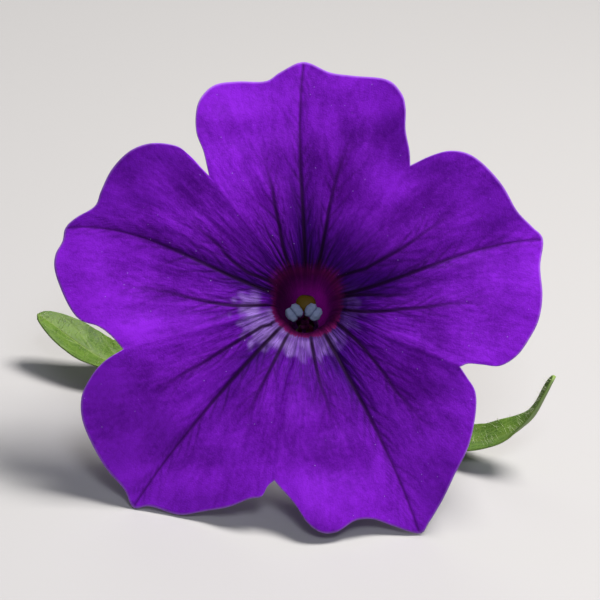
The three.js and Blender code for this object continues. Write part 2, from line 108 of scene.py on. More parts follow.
def turning(angle: float, first: int = 0, second: int = 1) -> Array:
    """The matrix that turns points by an angle, in radians, from one axis towards another.

    Args:
        angle: The angle.
        first: The axis that is turned, as a number.
        second: The axis that it is turned towards.

    Returns:
        The matrix, 3 x 3.
    """
    matrix = np.eye(3)
    matrix[first, first] = matrix[second, second] = math.cos(angle)
    matrix[first, second], matrix[second, first] = -math.sin(angle), math.sin(angle)
    return matrix


def through(values: Array, share: Array) -> Array:
    """Follows a quantity that is given at 0, 1/2 and 1, along the last axis, and reads it at each share."""
    a, b, c = values[..., 0], values[..., 1], values[..., 2]
    return a * (1 - share) * (1 - 2 * share) + 4 * b * share * (1 - share) + c * share * (2 * share - 1)


def spline(corners: Array, steps: int, chordal: bool) -> Array:
    """Draws a Catmull-Rom curve through corners.

    Args:
        corners: One point a row.
        steps: How many steps each stretch between two corners takes.
        chordal: True for the centripetal form, and False for the uniform one.

    Returns:
        The curve's points, corners included.
    """
    ends = np.vstack([2 * corners[0] - corners[1], corners, 2 * corners[-1] - corners[-2]])
    t = np.linspace(0, 1, steps, endpoint=False)[:, None]
    curve = []
    for p0, p1, p2, p3 in zip(ends, ends[1:], ends[2:], ends[3:], strict=False):
        d0, d1, d2 = (math.sqrt(np.linalg.norm(b - a)) for a, b in ((p0, p1), (p1, p2), (p2, p3)))
        start = 0.5 * (p2 - p0)
        end = 0.5 * (p3 - p1)
        if chordal:
            start = ((p1 - p0) / d0 - (p2 - p0) / (d0 + d1) + (p2 - p1) / d1) * d1
            end = ((p2 - p1) / d1 - (p3 - p1) / (d1 + d2) + (p3 - p2) / d2) * d1
        cubic = 2 * p1 - 2 * p2 + start + end
        square = -3 * p1 + 3 * p2 - 2 * start - end
        curve.append(p1 + start * t + square * t**2 + cubic * t**3)
    return np.vstack([*curve, corners[-1:]])


def spaced(curve: Array, count: int) -> Array:
    """Sets count + 1 points at even distances along a curve.

    Args:
        curve: Its points, one a row.
        count: How many steps to take.

    Returns:
        The new points.
    """
    length = np.r_[0, np.cumsum(np.linalg.norm(np.diff(curve, axis=0), axis=1))]
    at = np.linspace(0, length[-1], count + 1)
    return np.stack([np.interp(at, length, axis) for axis in curve.T], axis=1)


def normals(points: Array, closed: bool) -> Array:
    """Finds the normals of a grid of points, on the side of row x column.

    Args:
        points: Rows x columns x 3.
        closed: Whether the last column meets the first.

    Returns:
        A unit normal for each point.
    """
    along = np.gradient(points, axis=0)
    if closed:
        across = np.roll(points, -1, axis=1) - np.roll(points, 1, axis=1)
    else:
        across = np.gradient(points, axis=1)
    return unit(np.cross(along, across))


def wrapped(grid: Array) -> Array:
    """Adds a grid's first column after its last."""
    return np.concatenate([grid, grid[:, :1]], axis=1)


def between(grid: Array, i: Array, j: Array) -> Array:
    """Reads a grid between its points, at rows i and columns j that needn't be whole.

    Args:
        grid: Rows x columns, of numbers or of points.
        i: The rows.
        j: The columns.

    Returns:
        What the grid says there, in the shape of i.
    """
    i0, j0 = (np.minimum(at.astype(int), size - 2) for at, size in zip((i, j), grid.shape, strict=False))
    fi, fj = ((at - low).reshape(at.shape + (1,) * (grid.ndim - 2)) for at, low in ((i, i0), (j, j0)))
    near, far = (grid[row, j0] * (1 - fj) + grid[row, j0 + 1] * fj for row in (i0, i0 + 1))
    return near * (1 - fi) + far * fi


@dataclass
class Ripples:
    """A smooth, seeded, wavy function of place, as a sum of plane waves."""

    wavelength: float
    seed: int
    waves: int = 14

    def __call__(self, points: Array) -> Array:
        """Reads the function, which keeps mostly within -1 and 1, at points of any dimension.

        Args:
            points: The places, with their coordinates along the last axis.

        Returns:
            A number for each place.
        """
        random = np.random.default_rng(self.seed)
        total = np.zeros(points.shape[:-1])
        for _ in range(self.waves):
            way = unit(random.normal(size=points.shape[-1]))
            rate = 2 * math.pi / (self.wavelength * random.uniform(0.7, 1.5))
            total += np.sin(points @ way * rate + random.uniform(0, 2 * math.pi))
        return total / math.sqrt(self.waves)


# ---- Meshes ----


class Draft:
    """One mesh in the making: its vertices, its faces and its values at the vertices."""

    def __init__(self) -> None:
        """Starts with nothing."""
        self.points: list[Array] = []
        self.faces: list[Array] = []
        self.slots: list[int] = []
        self.values: dict[str, list[Array]] = {}
        self.count = 0

    def add(self, points: Array, values: Mapping[str, Array] | None = None) -> Array:
        """Adds vertices.

        Args:
            points: An array of any shape with x, y and z along its last axis.
            values: For each named value, an array over the same points, of numbers or of triples.

        Returns:
            The vertices' indices, in the shape of the points.
        """
        shape = points.shape[:-1]
        index = np.arange(self.count, self.count + int(np.prod(shape))).reshape(shape)
        for name, value in (values or {}).items():
            kept = self.values.setdefault(name, [])
            kept.append(np.asarray(value, float).reshape(index.size, -1))
        self.points.append(points.reshape(-1, 3))
        self.count += index.size
        return index

    def quads(self, index: Array, closed: bool = False, turned: bool = False, slot: int = 0) -> None:
        """Covers a grid of vertices with four-sided faces, which look along row x column unless turned.

        Args:
            index: The vertices, rows x columns.
            closed: Whether the last column meets the first.
            turned: Whether the faces look the other way.
            slot: Their material slot.
        """
        ring = wrapped(index) if closed else index
        corners = [ring[:-1, :-1], ring[1:, :-1], ring[1:, 1:], ring[:-1, 1:]]
        if turned:
            corners.reverse()
        self.faces.append(np.stack(corners, axis=-1).reshape(-1, 4))
        self.slots += [slot] * (len(self.faces[-1]))

    def fan(self, ring: Array, middle: int, turned: bool = False, slot: int = 0) -> None:
        """Closes a ring of vertices with triangles round a middle vertex.

        Args:
            ring: The ring's vertices.
            middle: The middle vertex.
            turned: Whether the triangles look the other way.
            slot: Their material slot.
        """
        after = np.roll(ring, -1)
        first, second = (after, ring) if turned else (ring, after)
        self.faces.append(np.stack([first, second, np.full_like(ring, middle)], axis=-1))
        self.slots += [slot] * len(ring)

    def tube(
        self, path: Array, radii: Array, sides: int, values: Mapping[str, Array] | None = None, slot: int = 0
    ) -> Array:
        """Adds a closed round tube along a path.

        Args:
            path: One point a row.
            radii: A radius for each point, or for each point and side.
            sides: How many sides it has.
            values: Named values for each point of the path.
            slot: Its material slot.

        Returns:
            Its points, a ring a row.
        """
        rings = tube_rings(path, radii, sides)
        given = {name: np.asarray(value, float) for name, value in (values or {}).items()}
        around = {name: np.repeat(value[:, None], sides, axis=1) for name, value in given.items()}
        index = self.add(rings, around)
        self.quads(index, closed=True, turned=True, slot=slot)
        for end, turned in ((0, True), (-1, False)):
            middle = self.add(path[[end]], {name: value[[end]] for name, value in given.items()})[0]
            self.fan(index[end], middle, turned, slot)
        return rings

    def sheet(self, grid: Array, thickness: Array, values: Mapping[str, Array]) -> tuple[Array, Array]:
        """Adds a thin closed blade round a grid of points.

        Args:
            grid: Rows x columns x 3.
            thickness: Its thickness, over the same grid.
            values: Named values over the same grid.

        Returns:
            The points of its front, which looks along row x column, and of its back.
        """
        offset = normals(grid, closed=False) * np.asarray(thickness)[..., None] / 2
        front, back = self.add(grid + offset, values), self.add(grid - offset, values)
        self.quads(front)
        self.quads(back, turned=True)
        for edge in (np.s_[-1, :], np.s_[::-1, -1], np.s_[0, ::-1], np.s_[:, 0]):
            self.quads(np.stack([front[edge], back[edge]]))
        return grid + offset, grid - offset

    def finish(self, name: str, *finishes: Finish) -> bpy.types.Object:
        """Makes the object.

        Args:
            name: Its name.
            finishes: The finishes of its material slots.

        Returns:
            The new object, linked to the scene.
        """
        mesh = bpy.data.meshes.new(name)
        faces = [face for block in self.faces for face in block.tolist()]
        mesh.from_pydata((np.vstack(self.points) * MM).tolist(), [], faces)
        for finish in finishes:
            mesh.materials.append(finish.material())
        mesh.polygons.foreach_set("material_index", np.array(self.slots, np.int32))
        mesh.polygons.foreach_set("use_smooth", np.ones(len(faces), bool))
        for label, parts in self.values.items():
            value = np.vstack(parts).astype(np.float32)
            value = np.vstack([value, np.zeros((self.count - len(value), value.shape[1]), np.float32)])
            kind, key = ("FLOAT", "value") if value.shape[1] == 1 else ("FLOAT_VECTOR", "vector")
            mesh.attributes.new(label, kind, "POINT").data.foreach_set(key, value.ravel())
        mesh.update()
        piece = bpy.data.objects.new(name, mesh)
        bpy.context.scene.collection.objects.link(piece)
        return piece


def tube_rings(path: Array, radii: Array, sides: int) -> Array:
    """Sets rings of points square to a path, without twist.

    Args:
        path: One point a row.
        radii: A radius for each point, or for each point and side.
        sides: How many points each ring has.

    Returns:
        Path points x sides x 3.
    """
    tangents = unit(np.gradient(path, axis=0))
    across = np.array([1.0, 0.0, 0.0])
    angles = (np.arange(sides) + 0.5) * 2 * math.pi / sides
    spread = np.broadcast_to(np.asarray(radii, float).reshape(len(path), -1), (len(path), sides))
    rings = []
    for point, tangent, radius in zip(path, tangents, spread, strict=True):
        across = unit(across - tangent * (across @ tangent))
        over = np.cross(tangent, across)
        ring = np.outer(np.cos(angles), across) + np.outer(np.sin(angles), over)
        rings.append(point + ring * radius[:, None])
    return np.array(rings)


@dataclass(frozen=True)
class Hairs:
    """Short soft hairs, each a bent cone of three sides. Sizes in millimetres."""

    length: float
    width: float = 0.028
    lean: float = 0.35
    bead: float = 0.0

    def grow(self, draft: Draft, roots: Array, ways: Array, seed: int, slot: int = 1) -> None:
        """Adds a hair at each root. Hairs come last in a draft, since they have no values.

        Args:
            draft: The mesh that gets them.
            roots: Where they stand.
            ways: The surface's normal at each root.
            seed: Seeds their lengths and how they lean.
            slot: Their material slot.
        """
        random = np.random.default_rng(seed)
        count = len(roots)
        length = self.length * random.uniform(0.55, 1.2, (count, 1))
        bend = random.normal(size=(count, 3)) * self.lean
        side = unit(np.cross(ways, random.normal(size=(count, 3))))
        other = np.cross(ways, side)
        head = (self.bead or self.width * 0.3) / self.width
        # How far along each ring of the hair is, and how wide it is there.
        steps = ((-0.08, 1.0), (0.35, 0.75), (0.72, 0.5), (0.92, head), (1.0, head * 0.7))
        corners = [side * math.cos(a) + other * math.sin(a) for a in np.radians((90, 210, 330))]
        rings = []
        for along, width in steps:
            centre = roots + (ways * along + bend * along**2) * length
            rings.append([centre + corner * self.width * width for corner in corners])
        index = draft.add(np.array(rings).transpose(2, 0, 1, 3))
        for row in range(len(steps) - 1):
            for corner in range(3):
                low, high = (index[:, at, (corner, (corner + 1) % 3)] for at in (row, row + 1))
                draft.faces.append(np.hstack([low, high[:, ::-1]]))
                draft.slots += [slot] * count
        for row, order in ((0, (2, 1, 0)), (-1, (0, 1, 2))):
            draft.faces.append(index[:, row, :][:, order])
            draft.slots += [slot] * count


def scatter(points: Array, count: int, seed: int, closed: bool) -> tuple[Array, Array]:
    """Picks places on a grid surface.

    Args:
        points: Rows x columns x 3.
        count: How many places.
        seed: Seeds the places.
        closed: Whether the last column meets the first.

    Returns:
        The places, and the surface's normals there.
    """
    random = np.random.default_rng(seed)
    grids = (points, normals(points, closed))
    places, ways = (wrapped(grid) if closed else grid for grid in grids)
    i, j = (random.uniform(0, 1, count) * (size - 1) for size in places.shape[:2])
    return between(places, i, j), unit(between(ways, i, j))


# ---- Finishes ----


def add_node(tree: bpy.types.NodeTree, kind: str, **given: object) -> Node:
    """Adds a shader node.

    Args:
        tree: The material's node tree.
        kind: The node's type, without "ShaderNode" before it.
        given: What it gets, by name. A lower-case name is one of the node's own properties, or "stops" for a
            colour ramp. Any other name is an input, with "_" for a space, or "_" and its number. A node or a
            socket is linked to it, an sRGB hex colour is turned to linear light, and another value is set as
            it is.

    Returns:
        The node.
    """
    node = tree.nodes.new("ShaderNode" + kind)
    for name, value in given.items():
        if name == "stops":
            ramp = node.color_ramp.elements
            while len(ramp) < len(value):
                ramp.new(0.5)
            for stop, (position, colour) in zip(ramp, value, strict=True):
                stop.position, stop.color = position, srgb(colour)
            continue
        if name.islower():
            setattr(node, name, value)
            continue
        if name[0] == "_":
            socket = node.inputs[int(name[1:])]
        else:
            label = name.replace("_", " ")
            socket = next(s for s in node.inputs if s.enabled and s.name == label)
        if isinstance(value, Node):
            value = next(output for output in value.outputs if output.enabled)
        if isinstance(value, Socket):
            tree.links.new(value, socket)
        else:
            socket.default_value = srgb(value) if isinstance(value, str) else value
    return node


def per_mm(repeats: float) -> float:
    """The scale of a pattern, from how many of its grains lie in a millimetre of the surface."""
    return repeats / MM


class Finish:
    """What a surface is made of."""

    name: str

    def surface(self, node: AddNode) -> Node:
        """Joins up the material's nodes.

        Args:
            node: Adds a node to its tree.

        Returns:
            The shader that the surface shows.
        """
        raise NotImplementedError

    def material(self) -> bpy.types.Material:
        """Makes the material at its first use, and gives the same one after that.

        Returns:
            The material.
        """
        material = bpy.data.materials.get(self.name)
        if material is None:
            material = bpy.data.materials.new(self.name)
            material.use_nodes = True
            material.node_tree.nodes.clear()
            node = partial(add_node, material.node_tree)
            node("OutputMaterial", Surface=self.surface(node))
        return material


@dataclass(frozen=True)
class PetalTissue(Finish):
    """Petunia petal, as grown: a skin of tiny cones over thin violet tissue, so it looks like velvet, lets
    some light through, and is dark along its veins. Shade is painted on it round the throat, along the
    midribs and in a few patches, and light in the tube and as a highlight on its rim."""

    name: str = "petal_tissue_velvet"
    deep: str = "#55078c"
    bright: str = "#7c1bc4"
    # The darker, bluer violet round the throat and along the midribs, which also paints shade there.
    dark_violet_and_shade: str = "#36016c"
    vein: str = "#15001f"
    pale: str = "#8a69bc"
    burgundy: str = "#76125e"
    # depths is a brighter red: painted light that comes through the tube's wall deep down.
    depths: str = "#a82a80"
    outside: str = "#8a4cc4"
    # rim is a painted highlight along the thin edge.
    rim: str = "#b98ae0"
    dust: str = "#d8c9f0"
    sheen: str = "#a050ff"
    limb_light: float = 0.2
    tube_light: float = 0.7

    def surface(self, node: AddNode) -> Node:
        """Joins up the nodes, which read the corolla's values place, marks, tones and fan.

        Args:
            node: Adds a node to the material's tree.

        Returns:
            The shader that the surface shows.
        """
        names = ("place", "marks", "tones", "fan")
        *triples, fan = (node("Attribute", attribute_name=name).outputs["Vector"] for name in names)
        out, stain, rim, vein, pale, face, dark_violet_and_shade, bloom, softness = (
            part for triple in triples for part in node("SeparateXYZ", Vector=triple).outputs
        )
        solid = node("TexCoord").outputs["Object"]
        mix = partial(node, "Mix", data_type="RGBA")

        # Broad unevenness of the colour, about 1 mm wide and drawn out along the petal, and a finer grain.
        broad = node("TexNoise", Scale=0.9, Detail=2.5, Roughness=0.55, Vector=fan)
        grain = node("TexNoise", Scale=per_mm(1.3), Detail=5.0, Roughness=0.75, Vector=solid)
        level = node("Math", operation="MULTIPLY_ADD", _0=grain, _1=1.1, _2=broad)
        tone = node("MapRange", From_Min=0.8, From_Max=1.32, To_Max=0.8, Value=level)
        # The tone, with "bloom" added: brighter towards the rim, in soft clouds, and darker in a few patches
        # of painted shade.
        tone_and_shade = node("Math", operation="ADD", use_clamp=True, _0=tone, _1=bloom)
        body = mix(Factor=tone_and_shade, A=self.deep, B=self.bright)
        # Towards the throat and along the midribs the violet is darker and bluer: partly its own colour, and
        # partly painted shade where the face slopes into the throat and sinks along the midribs.
        inner = mix(Factor=dark_violet_and_shade, A=body, B=self.dark_violet_and_shade)

        # Fine dark streaks between the veins, dense at the throat.
        streak = node("TexNoise", Scale=2.6, Detail=2.0, Roughness=0.55, Vector=fan)
        crest = node("Math", operation="ABSOLUTE", _0=node("Math", operation="SUBTRACT", _0=streak, _1=0.5))
        line = node("MapRange", From_Max=0.09, To_Min=1.0, To_Max=0.0, Value=crest)
        fade = node("MapRange", From_Min=0.5, From_Max=9.0, To_Min=0.5, To_Max=0.08, Value=out)
        streaks = node("Math", operation="MULTIPLY", _0=line, _1=fade)
        dark = node("Math", operation="MAXIMUM", _0=streaks, _1=vein)
        # Pale patches at the throat, which the veins cross.
        veined = mix(Factor=dark, A=mix(Factor=pale, A=inner, B=self.pale), B=self.vein)

        # Inside the funnel the violet turns to burgundy, along a ragged line, soft above and sharp below.
        rag = node("MapRange", From_Min=0.3, From_Max=0.7, To_Min=-0.5, To_Max=0.5, Value=streak)
        above = node("Math", operation="SUBTRACT", _0=out, _1=stain)
        shifted = node("Math", operation="ADD", _0=above, _1=rag)
        eased = node("Math", operation="DIVIDE", _0=shifted, _1=softness)
        wine = node("MapRange", From_Min=-0.5, From_Max=0.5, To_Min=1.0, To_Max=0.0, Value=eased)
        # The wall is redder and brighter deep down, and on its lower right, where "bloom" says so: painted
        # light that comes through the thin wall.
        deeper = node("MapRange", From_Min=-10.0, From_Max=-3.0, To_Min=1.0, To_Max=0.0, Value=out)
        red = node("Math", operation="MAXIMUM", _0=deeper, _1=bloom)
        mottle = node("Math", operation="MULTIPLY", _0=dark, _1=0.6)
        stained = mix(Factor=mottle, A=mix(Factor=red, A=self.burgundy, B=self.depths), B=self.vein)
        inside = mix(Factor=wine, A=veined, B=stained)

        # The thin rim is lighter, as a painted highlight where light catches and comes through the edge, and
        # the whole outside of the flower is lighter too.
        edge = node("MapRange", From_Min=0.988, From_Max=1.0, To_Max=0.5, Value=rim)
        rimmed = mix(Factor=edge, A=inside, B=self.rim)
        faint = node("Math", operation="MULTIPLY", _0=dark, _1=0.45)
        colour = mix(Factor=face, A=mix(Factor=faint, A=self.outside, B=self.deep), B=rimmed)
        # Grains of dust and pollen, 1.4 mm apart, catch the light as white specks.
        cells = node("TexVoronoi", Scale=per_mm(0.7), Vector=solid)
        speck = node("MapRange", From_Min=0.025, From_Max=0.05, To_Min=0.35, To_Max=0.0, Value=cells)
        dusted = mix(Factor=speck, A=colour, B=self.dust)

        # The velvet: cones of the petal's skin are 0.03 mm wide, and are drawn at about 0.2 mm to show.
        skin = node("TexNoise", Scale=per_mm(4.2), Detail=3.0, Roughness=0.6, Vector=solid)
        velvet = node("Bump", Strength=0.7, Distance=0.1 * MM, Height=skin)
        # Shallow flutes run out along the petal, broad ones, and fine ones between them.
        flutes = node("Bump", Distance=0.5 * MM, Height=broad, Normal=velvet)
        fluted = node("Bump", Distance=0.05 * MM, Height=streak, Normal=flutes)
        furrow = node("Bump", invert=True, Strength=0.5, Distance=0.08 * MM, Height=dark, Normal=fluted)
        gloss = node("MapRange", To_Min=0.55, To_Max=0.75, Value=broad)
        shell = node(
            "BsdfPrincipled", Base_Color=dusted, Roughness=gloss, Normal=furrow, IOR=1.4,
            Specular_IOR_Level=0.08, Sheen_Weight=0.02, Sheen_Roughness=0.45, Sheen_Tint=self.sheen,
        )
        glow = node("BsdfTranslucent", Color=dusted, Normal=furrow)
        # More light comes through the thin tissue of the tube than through the limb's.
        low, high = self.tube_light, self.limb_light
        thin = node("MapRange", From_Min=-3.0, From_Max=0.0, To_Min=low, To_Max=high, Value=out)
        return node("MixShader", Fac=thin, _1=shell, _2=glow)


@dataclass(frozen=True)
class PlainTissue(Finish):
    """Soft plant tissue with an uneven colour, slightly moist, so it has a low broad shine."""

    name: str
    light: str
    dark: str
    roughness: float = 0.5
    light_through: float = 0.12

    def surface(self, node: AddNode) -> Node:
        """Joins up the nodes.

        Args:
            node: Adds a node to the material's tree.

        Returns:
            The shader that the surface shows.
        """
        blotch = node("TexNoise", Scale=per_mm(0.9), Detail=4.0, Vector=node("TexCoord").outputs["Object"])
        tone = node("MapRange", From_Min=0.35, From_Max=0.65, Value=blotch)
        colour = node("Mix", data_type="RGBA", Factor=tone, A=self.dark, B=self.light)
        bump = node("Bump", Strength=0.3, Distance=0.1 * MM, Height=blotch)
        shell = node("BsdfPrincipled", Base_Color=colour, Roughness=self.roughness, IOR=1.42, Normal=bump)
        return node("MixShader", Fac=self.light_through, _1=shell, _2=node("BsdfTranslucent", Color=colour))


# Sepals, stalk and stem: soft, fresh green.
GREEN = PlainTissue("green_tissue_soft", light="#7f9b48", dark="#5c7a2e")
# Filaments: pale, a little violet, and nearly clear.
FILAMENT = PlainTissue("filament_pale", light="#cdbbe0", dark="#9a80bd", roughness=0.45, light_through=0.25)
# The sticky hairs on all green parts: clear, and whitish against the light.
HAIR = PlainTissue("gland_hair_clear", light="#dfe6c8", dark="#c4cfa4", roughness=0.3, light_through=0.4)


@dataclass(frozen=True)
class Pollen(Finish):
    """Anther sacs covered in blue-grey pollen: dry powder with no shine, and darker in their groove, as
    painted shade.
    """

    name: str = "anther_pollen_powder"
    powder: str = "#9fb0cc"
    shaded: str = "#7683a8"
    # groove is painted shade, in the crease between the two sacs.
    groove: str = "#2a3564"

    def surface(self, node: AddNode) -> Node:
        """Joins up the nodes, which read the anther's value groove.

        Args:
            node: Adds a node to the material's tree.

        Returns:
            The shader that the surface shows.
        """
        solid = node("TexCoord").outputs["Object"]
        blotch = node("TexNoise", Scale=per_mm(2.5), Detail=3.0, Vector=solid)
        powder = node("Mix", data_type="RGBA", Factor=blotch, A=self.shaded, B=self.powder)
        # The groove's darker colour is painted shade, in the crease between the sacs.
        groove = node("Attribute", attribute_name="groove").outputs["Fac"]
        colour = node("Mix", data_type="RGBA", Factor=groove, A=powder, B=self.groove)
        # Pollen grains are 0.03 mm wide, and are drawn at about 0.08 mm to show.
        grains = node("TexVoronoi", Scale=per_mm(12), Vector=solid)
        bump = node("Bump", invert=True, Strength=0.6, Distance=0.06 * MM, Height=grains)
        return node("BsdfPrincipled", Base_Color=colour, Roughness=0.95, IOR=1.4, Normal=bump)


# The three shorter stamens' anthers, which open last: closed, and dark, which also paints the shade deep in
# the tube where they stand.
UNOPENED = Pollen("anther_unopened_skin", powder="#8c3478", shaded="#6c225c", groove="#3c1038")


@dataclass(frozen=True)
class StigmaTissue(Finish):
    """Style and ovary in soft green, and a stigma in dark olive, only just moist, with a soft low shine."""

    name: str = "stigma_and_style_moist"
    style: str = "#8b9a4a"
    stigma: str = "#5c4a08"
    lip: str = "#b09418"

    def surface(self, node: AddNode) -> Node:
        """Joins up the nodes, which read the pistil's values head and lip.

        Args:
            node: Adds a node to the material's tree.

        Returns:
            The shader that the surface shows.
        """
        head, lip = (node("Attribute", attribute_name=name).outputs["Fac"] for name in ("head", "lip"))
        moist = node("Mix", data_type="RGBA", Factor=lip, A=self.stigma, B=self.lip)
        colour = node("Mix", data_type="RGBA", Factor=head, A=self.style, B=moist)
        # The papillae that cover a stigma are 0.05 mm wide, and are drawn at about 0.14 mm to show.
        papillae = node("TexVoronoi", Scale=per_mm(7), Vector=node("TexCoord").outputs["Object"])
        bump = node("Bump", invert=True, Strength=0.5, Distance=0.08 * MM, Height=papillae)
        return node(
            "BsdfPrincipled", Base_Color=colour, Roughness=0.5, IOR=1.4, Specular_IOR_Level=0.25, Normal=bump
        )


@dataclass(frozen=True)
class LeafTissue(Finish):
    """Petunia leaf: matt, slightly puckered green, with sunken pale veins, and paler below."""

    name: str = "leaf_tissue_green"
    light: str = "#5d7f26"
    dark: str = "#3f6212"
    vein: str = "#84a04c"
    below: str = "#768f50"
    light_through: float = 0.18

    def surface(self, node: AddNode) -> Node:
        """Joins up the nodes, which read the leaf's values vein and under.

        Args:
            node: Adds a node to the material's tree.

        Returns:
            The shader that the surface shows.
        """
        vein, under = (node("Attribute", attribute_name=name).outputs["Fac"] for name in ("vein", "under"))
        solid = node("TexCoord").outputs["Object"]
        mix = partial(node, "Mix", data_type="RGBA")
        blotch = node("TexNoise", Scale=per_mm(0.35), Detail=4.0, Vector=solid)
        tone = node("MapRange", From_Min=0.35, From_Max=0.65, Value=blotch)
        blade = mix(Factor=tone, A=self.dark, B=self.light)
        # The net of the finest veins has meshes about 0.7 mm wide.
        net = node("TexVoronoi", feature="DISTANCE_TO_EDGE", Scale=per_mm(1.5), Vector=solid)
        mesh = node("MapRange", From_Max=0.12, To_Min=0.35, To_Max=0.0, Value=net)
        lines = node("Math", operation="MAXIMUM", _0=mesh, _1=vein)
        colour = mix(Factor=lines, A=mix(Factor=under, A=blade, B=self.below), B=self.vein)
        puckers = node("Bump", invert=True, Strength=0.5, Distance=0.12 * MM, Height=lines)
        shell = node("BsdfPrincipled", Base_Color=colour, Roughness=0.55, IOR=1.42, Normal=puckers)
        return node("MixShader", Fac=self.light_through, _1=shell, _2=node("BsdfTranslucent", Color=colour))


@dataclass(frozen=True)
class CutPith(Finish):
    """Freshly cut stem: a green skin, a darker ring of vessels and a pale, damp pith."""

    name: str = "cut_stem_pith"
    skin: str = "#7d9a48"
    ring: str = "#54702c"
    pith: str = "#cdd6a6"

    def surface(self, node: AddNode) -> Node:
        """Joins up the nodes, which read the cut's value cut, 0 in the middle and 1 at the skin.

        Args:
            node: Adds a node to the material's tree.

        Returns:
            The shader that the surface shows.
        """
        cut = node("Attribute", attribute_name="cut").outputs["Fac"]
        stops = ((0.0, self.pith), (0.6, self.pith), (0.75, self.ring), (1.0, self.skin))
        colour = node("ValToRGB", stops=stops, Fac=cut)
        return node("BsdfPrincipled", Base_Color=colour, Roughness=0.4, IOR=1.38)


@dataclass(frozen=True)
class PaintedBoard(Finish):
    """A studio board with matt off-white paint, rolled on, so it has a faint unevenness and no shine."""

    name: str = "painted_board_matt"
    paint: str = "#a6a6a6"

    def surface(self, node: AddNode) -> Node:
        """Joins up the nodes.

        Args:
            node: Adds a node to the material's tree.

        Returns:
            The shader that the surface shows.
        """
        # A roller leaves a stipple 2 to 3 mm wide.
        roller = node("TexNoise", Scale=per_mm(0.4), Detail=3.0, Vector=node("TexCoord").outputs["Object"])
        bump = node("Bump", Strength=0.05, Distance=0.2 * MM, Height=roller)
        return node("BsdfPrincipled", Base_Color=self.paint, Roughness=0.9, Normal=bump)


# ---- The flower's own frame ----


@dataclass
class FlowerFrame:
    """Where the flower lies: its face looks up from the horizontal, and is turned in its own plane."""

    tilt: float = 25.0
    turn: float = 5.75
    origin: Array = field(default_factory=lambda: np.zeros(3))

    @property
    def axes(self) -> Array:
        """The flower's X, Y and Z in the CAD model's frame, as columns."""
        return turning(math.radians(90 - self.tilt), 1, 2) @ turning(math.radians(self.turn))

    def place(self, points: Array) -> Array:
        """Turns points in the flower's frame to the CAD model's."""
        return points @ self.axes.T + self.origin

    def seat(self, points: Array, node: str) -> None:
        """Sets the origin so that points, placed, fill the box of a CAD node.

        Args:
            points: Points in the flower's frame.
            node: The CAD node's name.
        """
        low, high = (np.array(corner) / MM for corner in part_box(node))
        placed = points.reshape(-1, 3) @ self.axes.T
        self.origin = (low + high) / 2 - (placed.min(axis=0) + placed.max(axis=0)) / 2


# ---- The corolla ----


class Face(Enum):
    """The two sides of the petals."""

    INNER = 1.0
    OUTER = 0.0

    @property
    def sign(self) -> int:
        """Which way the side lies from the petal's middle: 1 towards the eye, and -1 away."""
        return 1 if self is Face.INNER else -1


@dataclass(frozen=True)
class Petal:
    """One petal. Angles are in degrees anticlockwise from the right, and lengths in millimetres.

    midrib is the midrib's direction at the throat, half way out and at the tip. crease is how far its
    clockwise and its anticlockwise join rise above the midrib, per millimetre out. ruffle is the height and
    the phase of its waves. rim is its outline, as (direction, radius). laterals are its main side veins, as
    (share of the half petal, radius).
    """

    midrib: tuple[float, float, float]
    crease: tuple[float, float]
    ruffle: tuple[float, float]
    rim: tuple[tuple[float, float], ...]
    laterals: tuple[tuple[tuple[float, float], ...], ...]


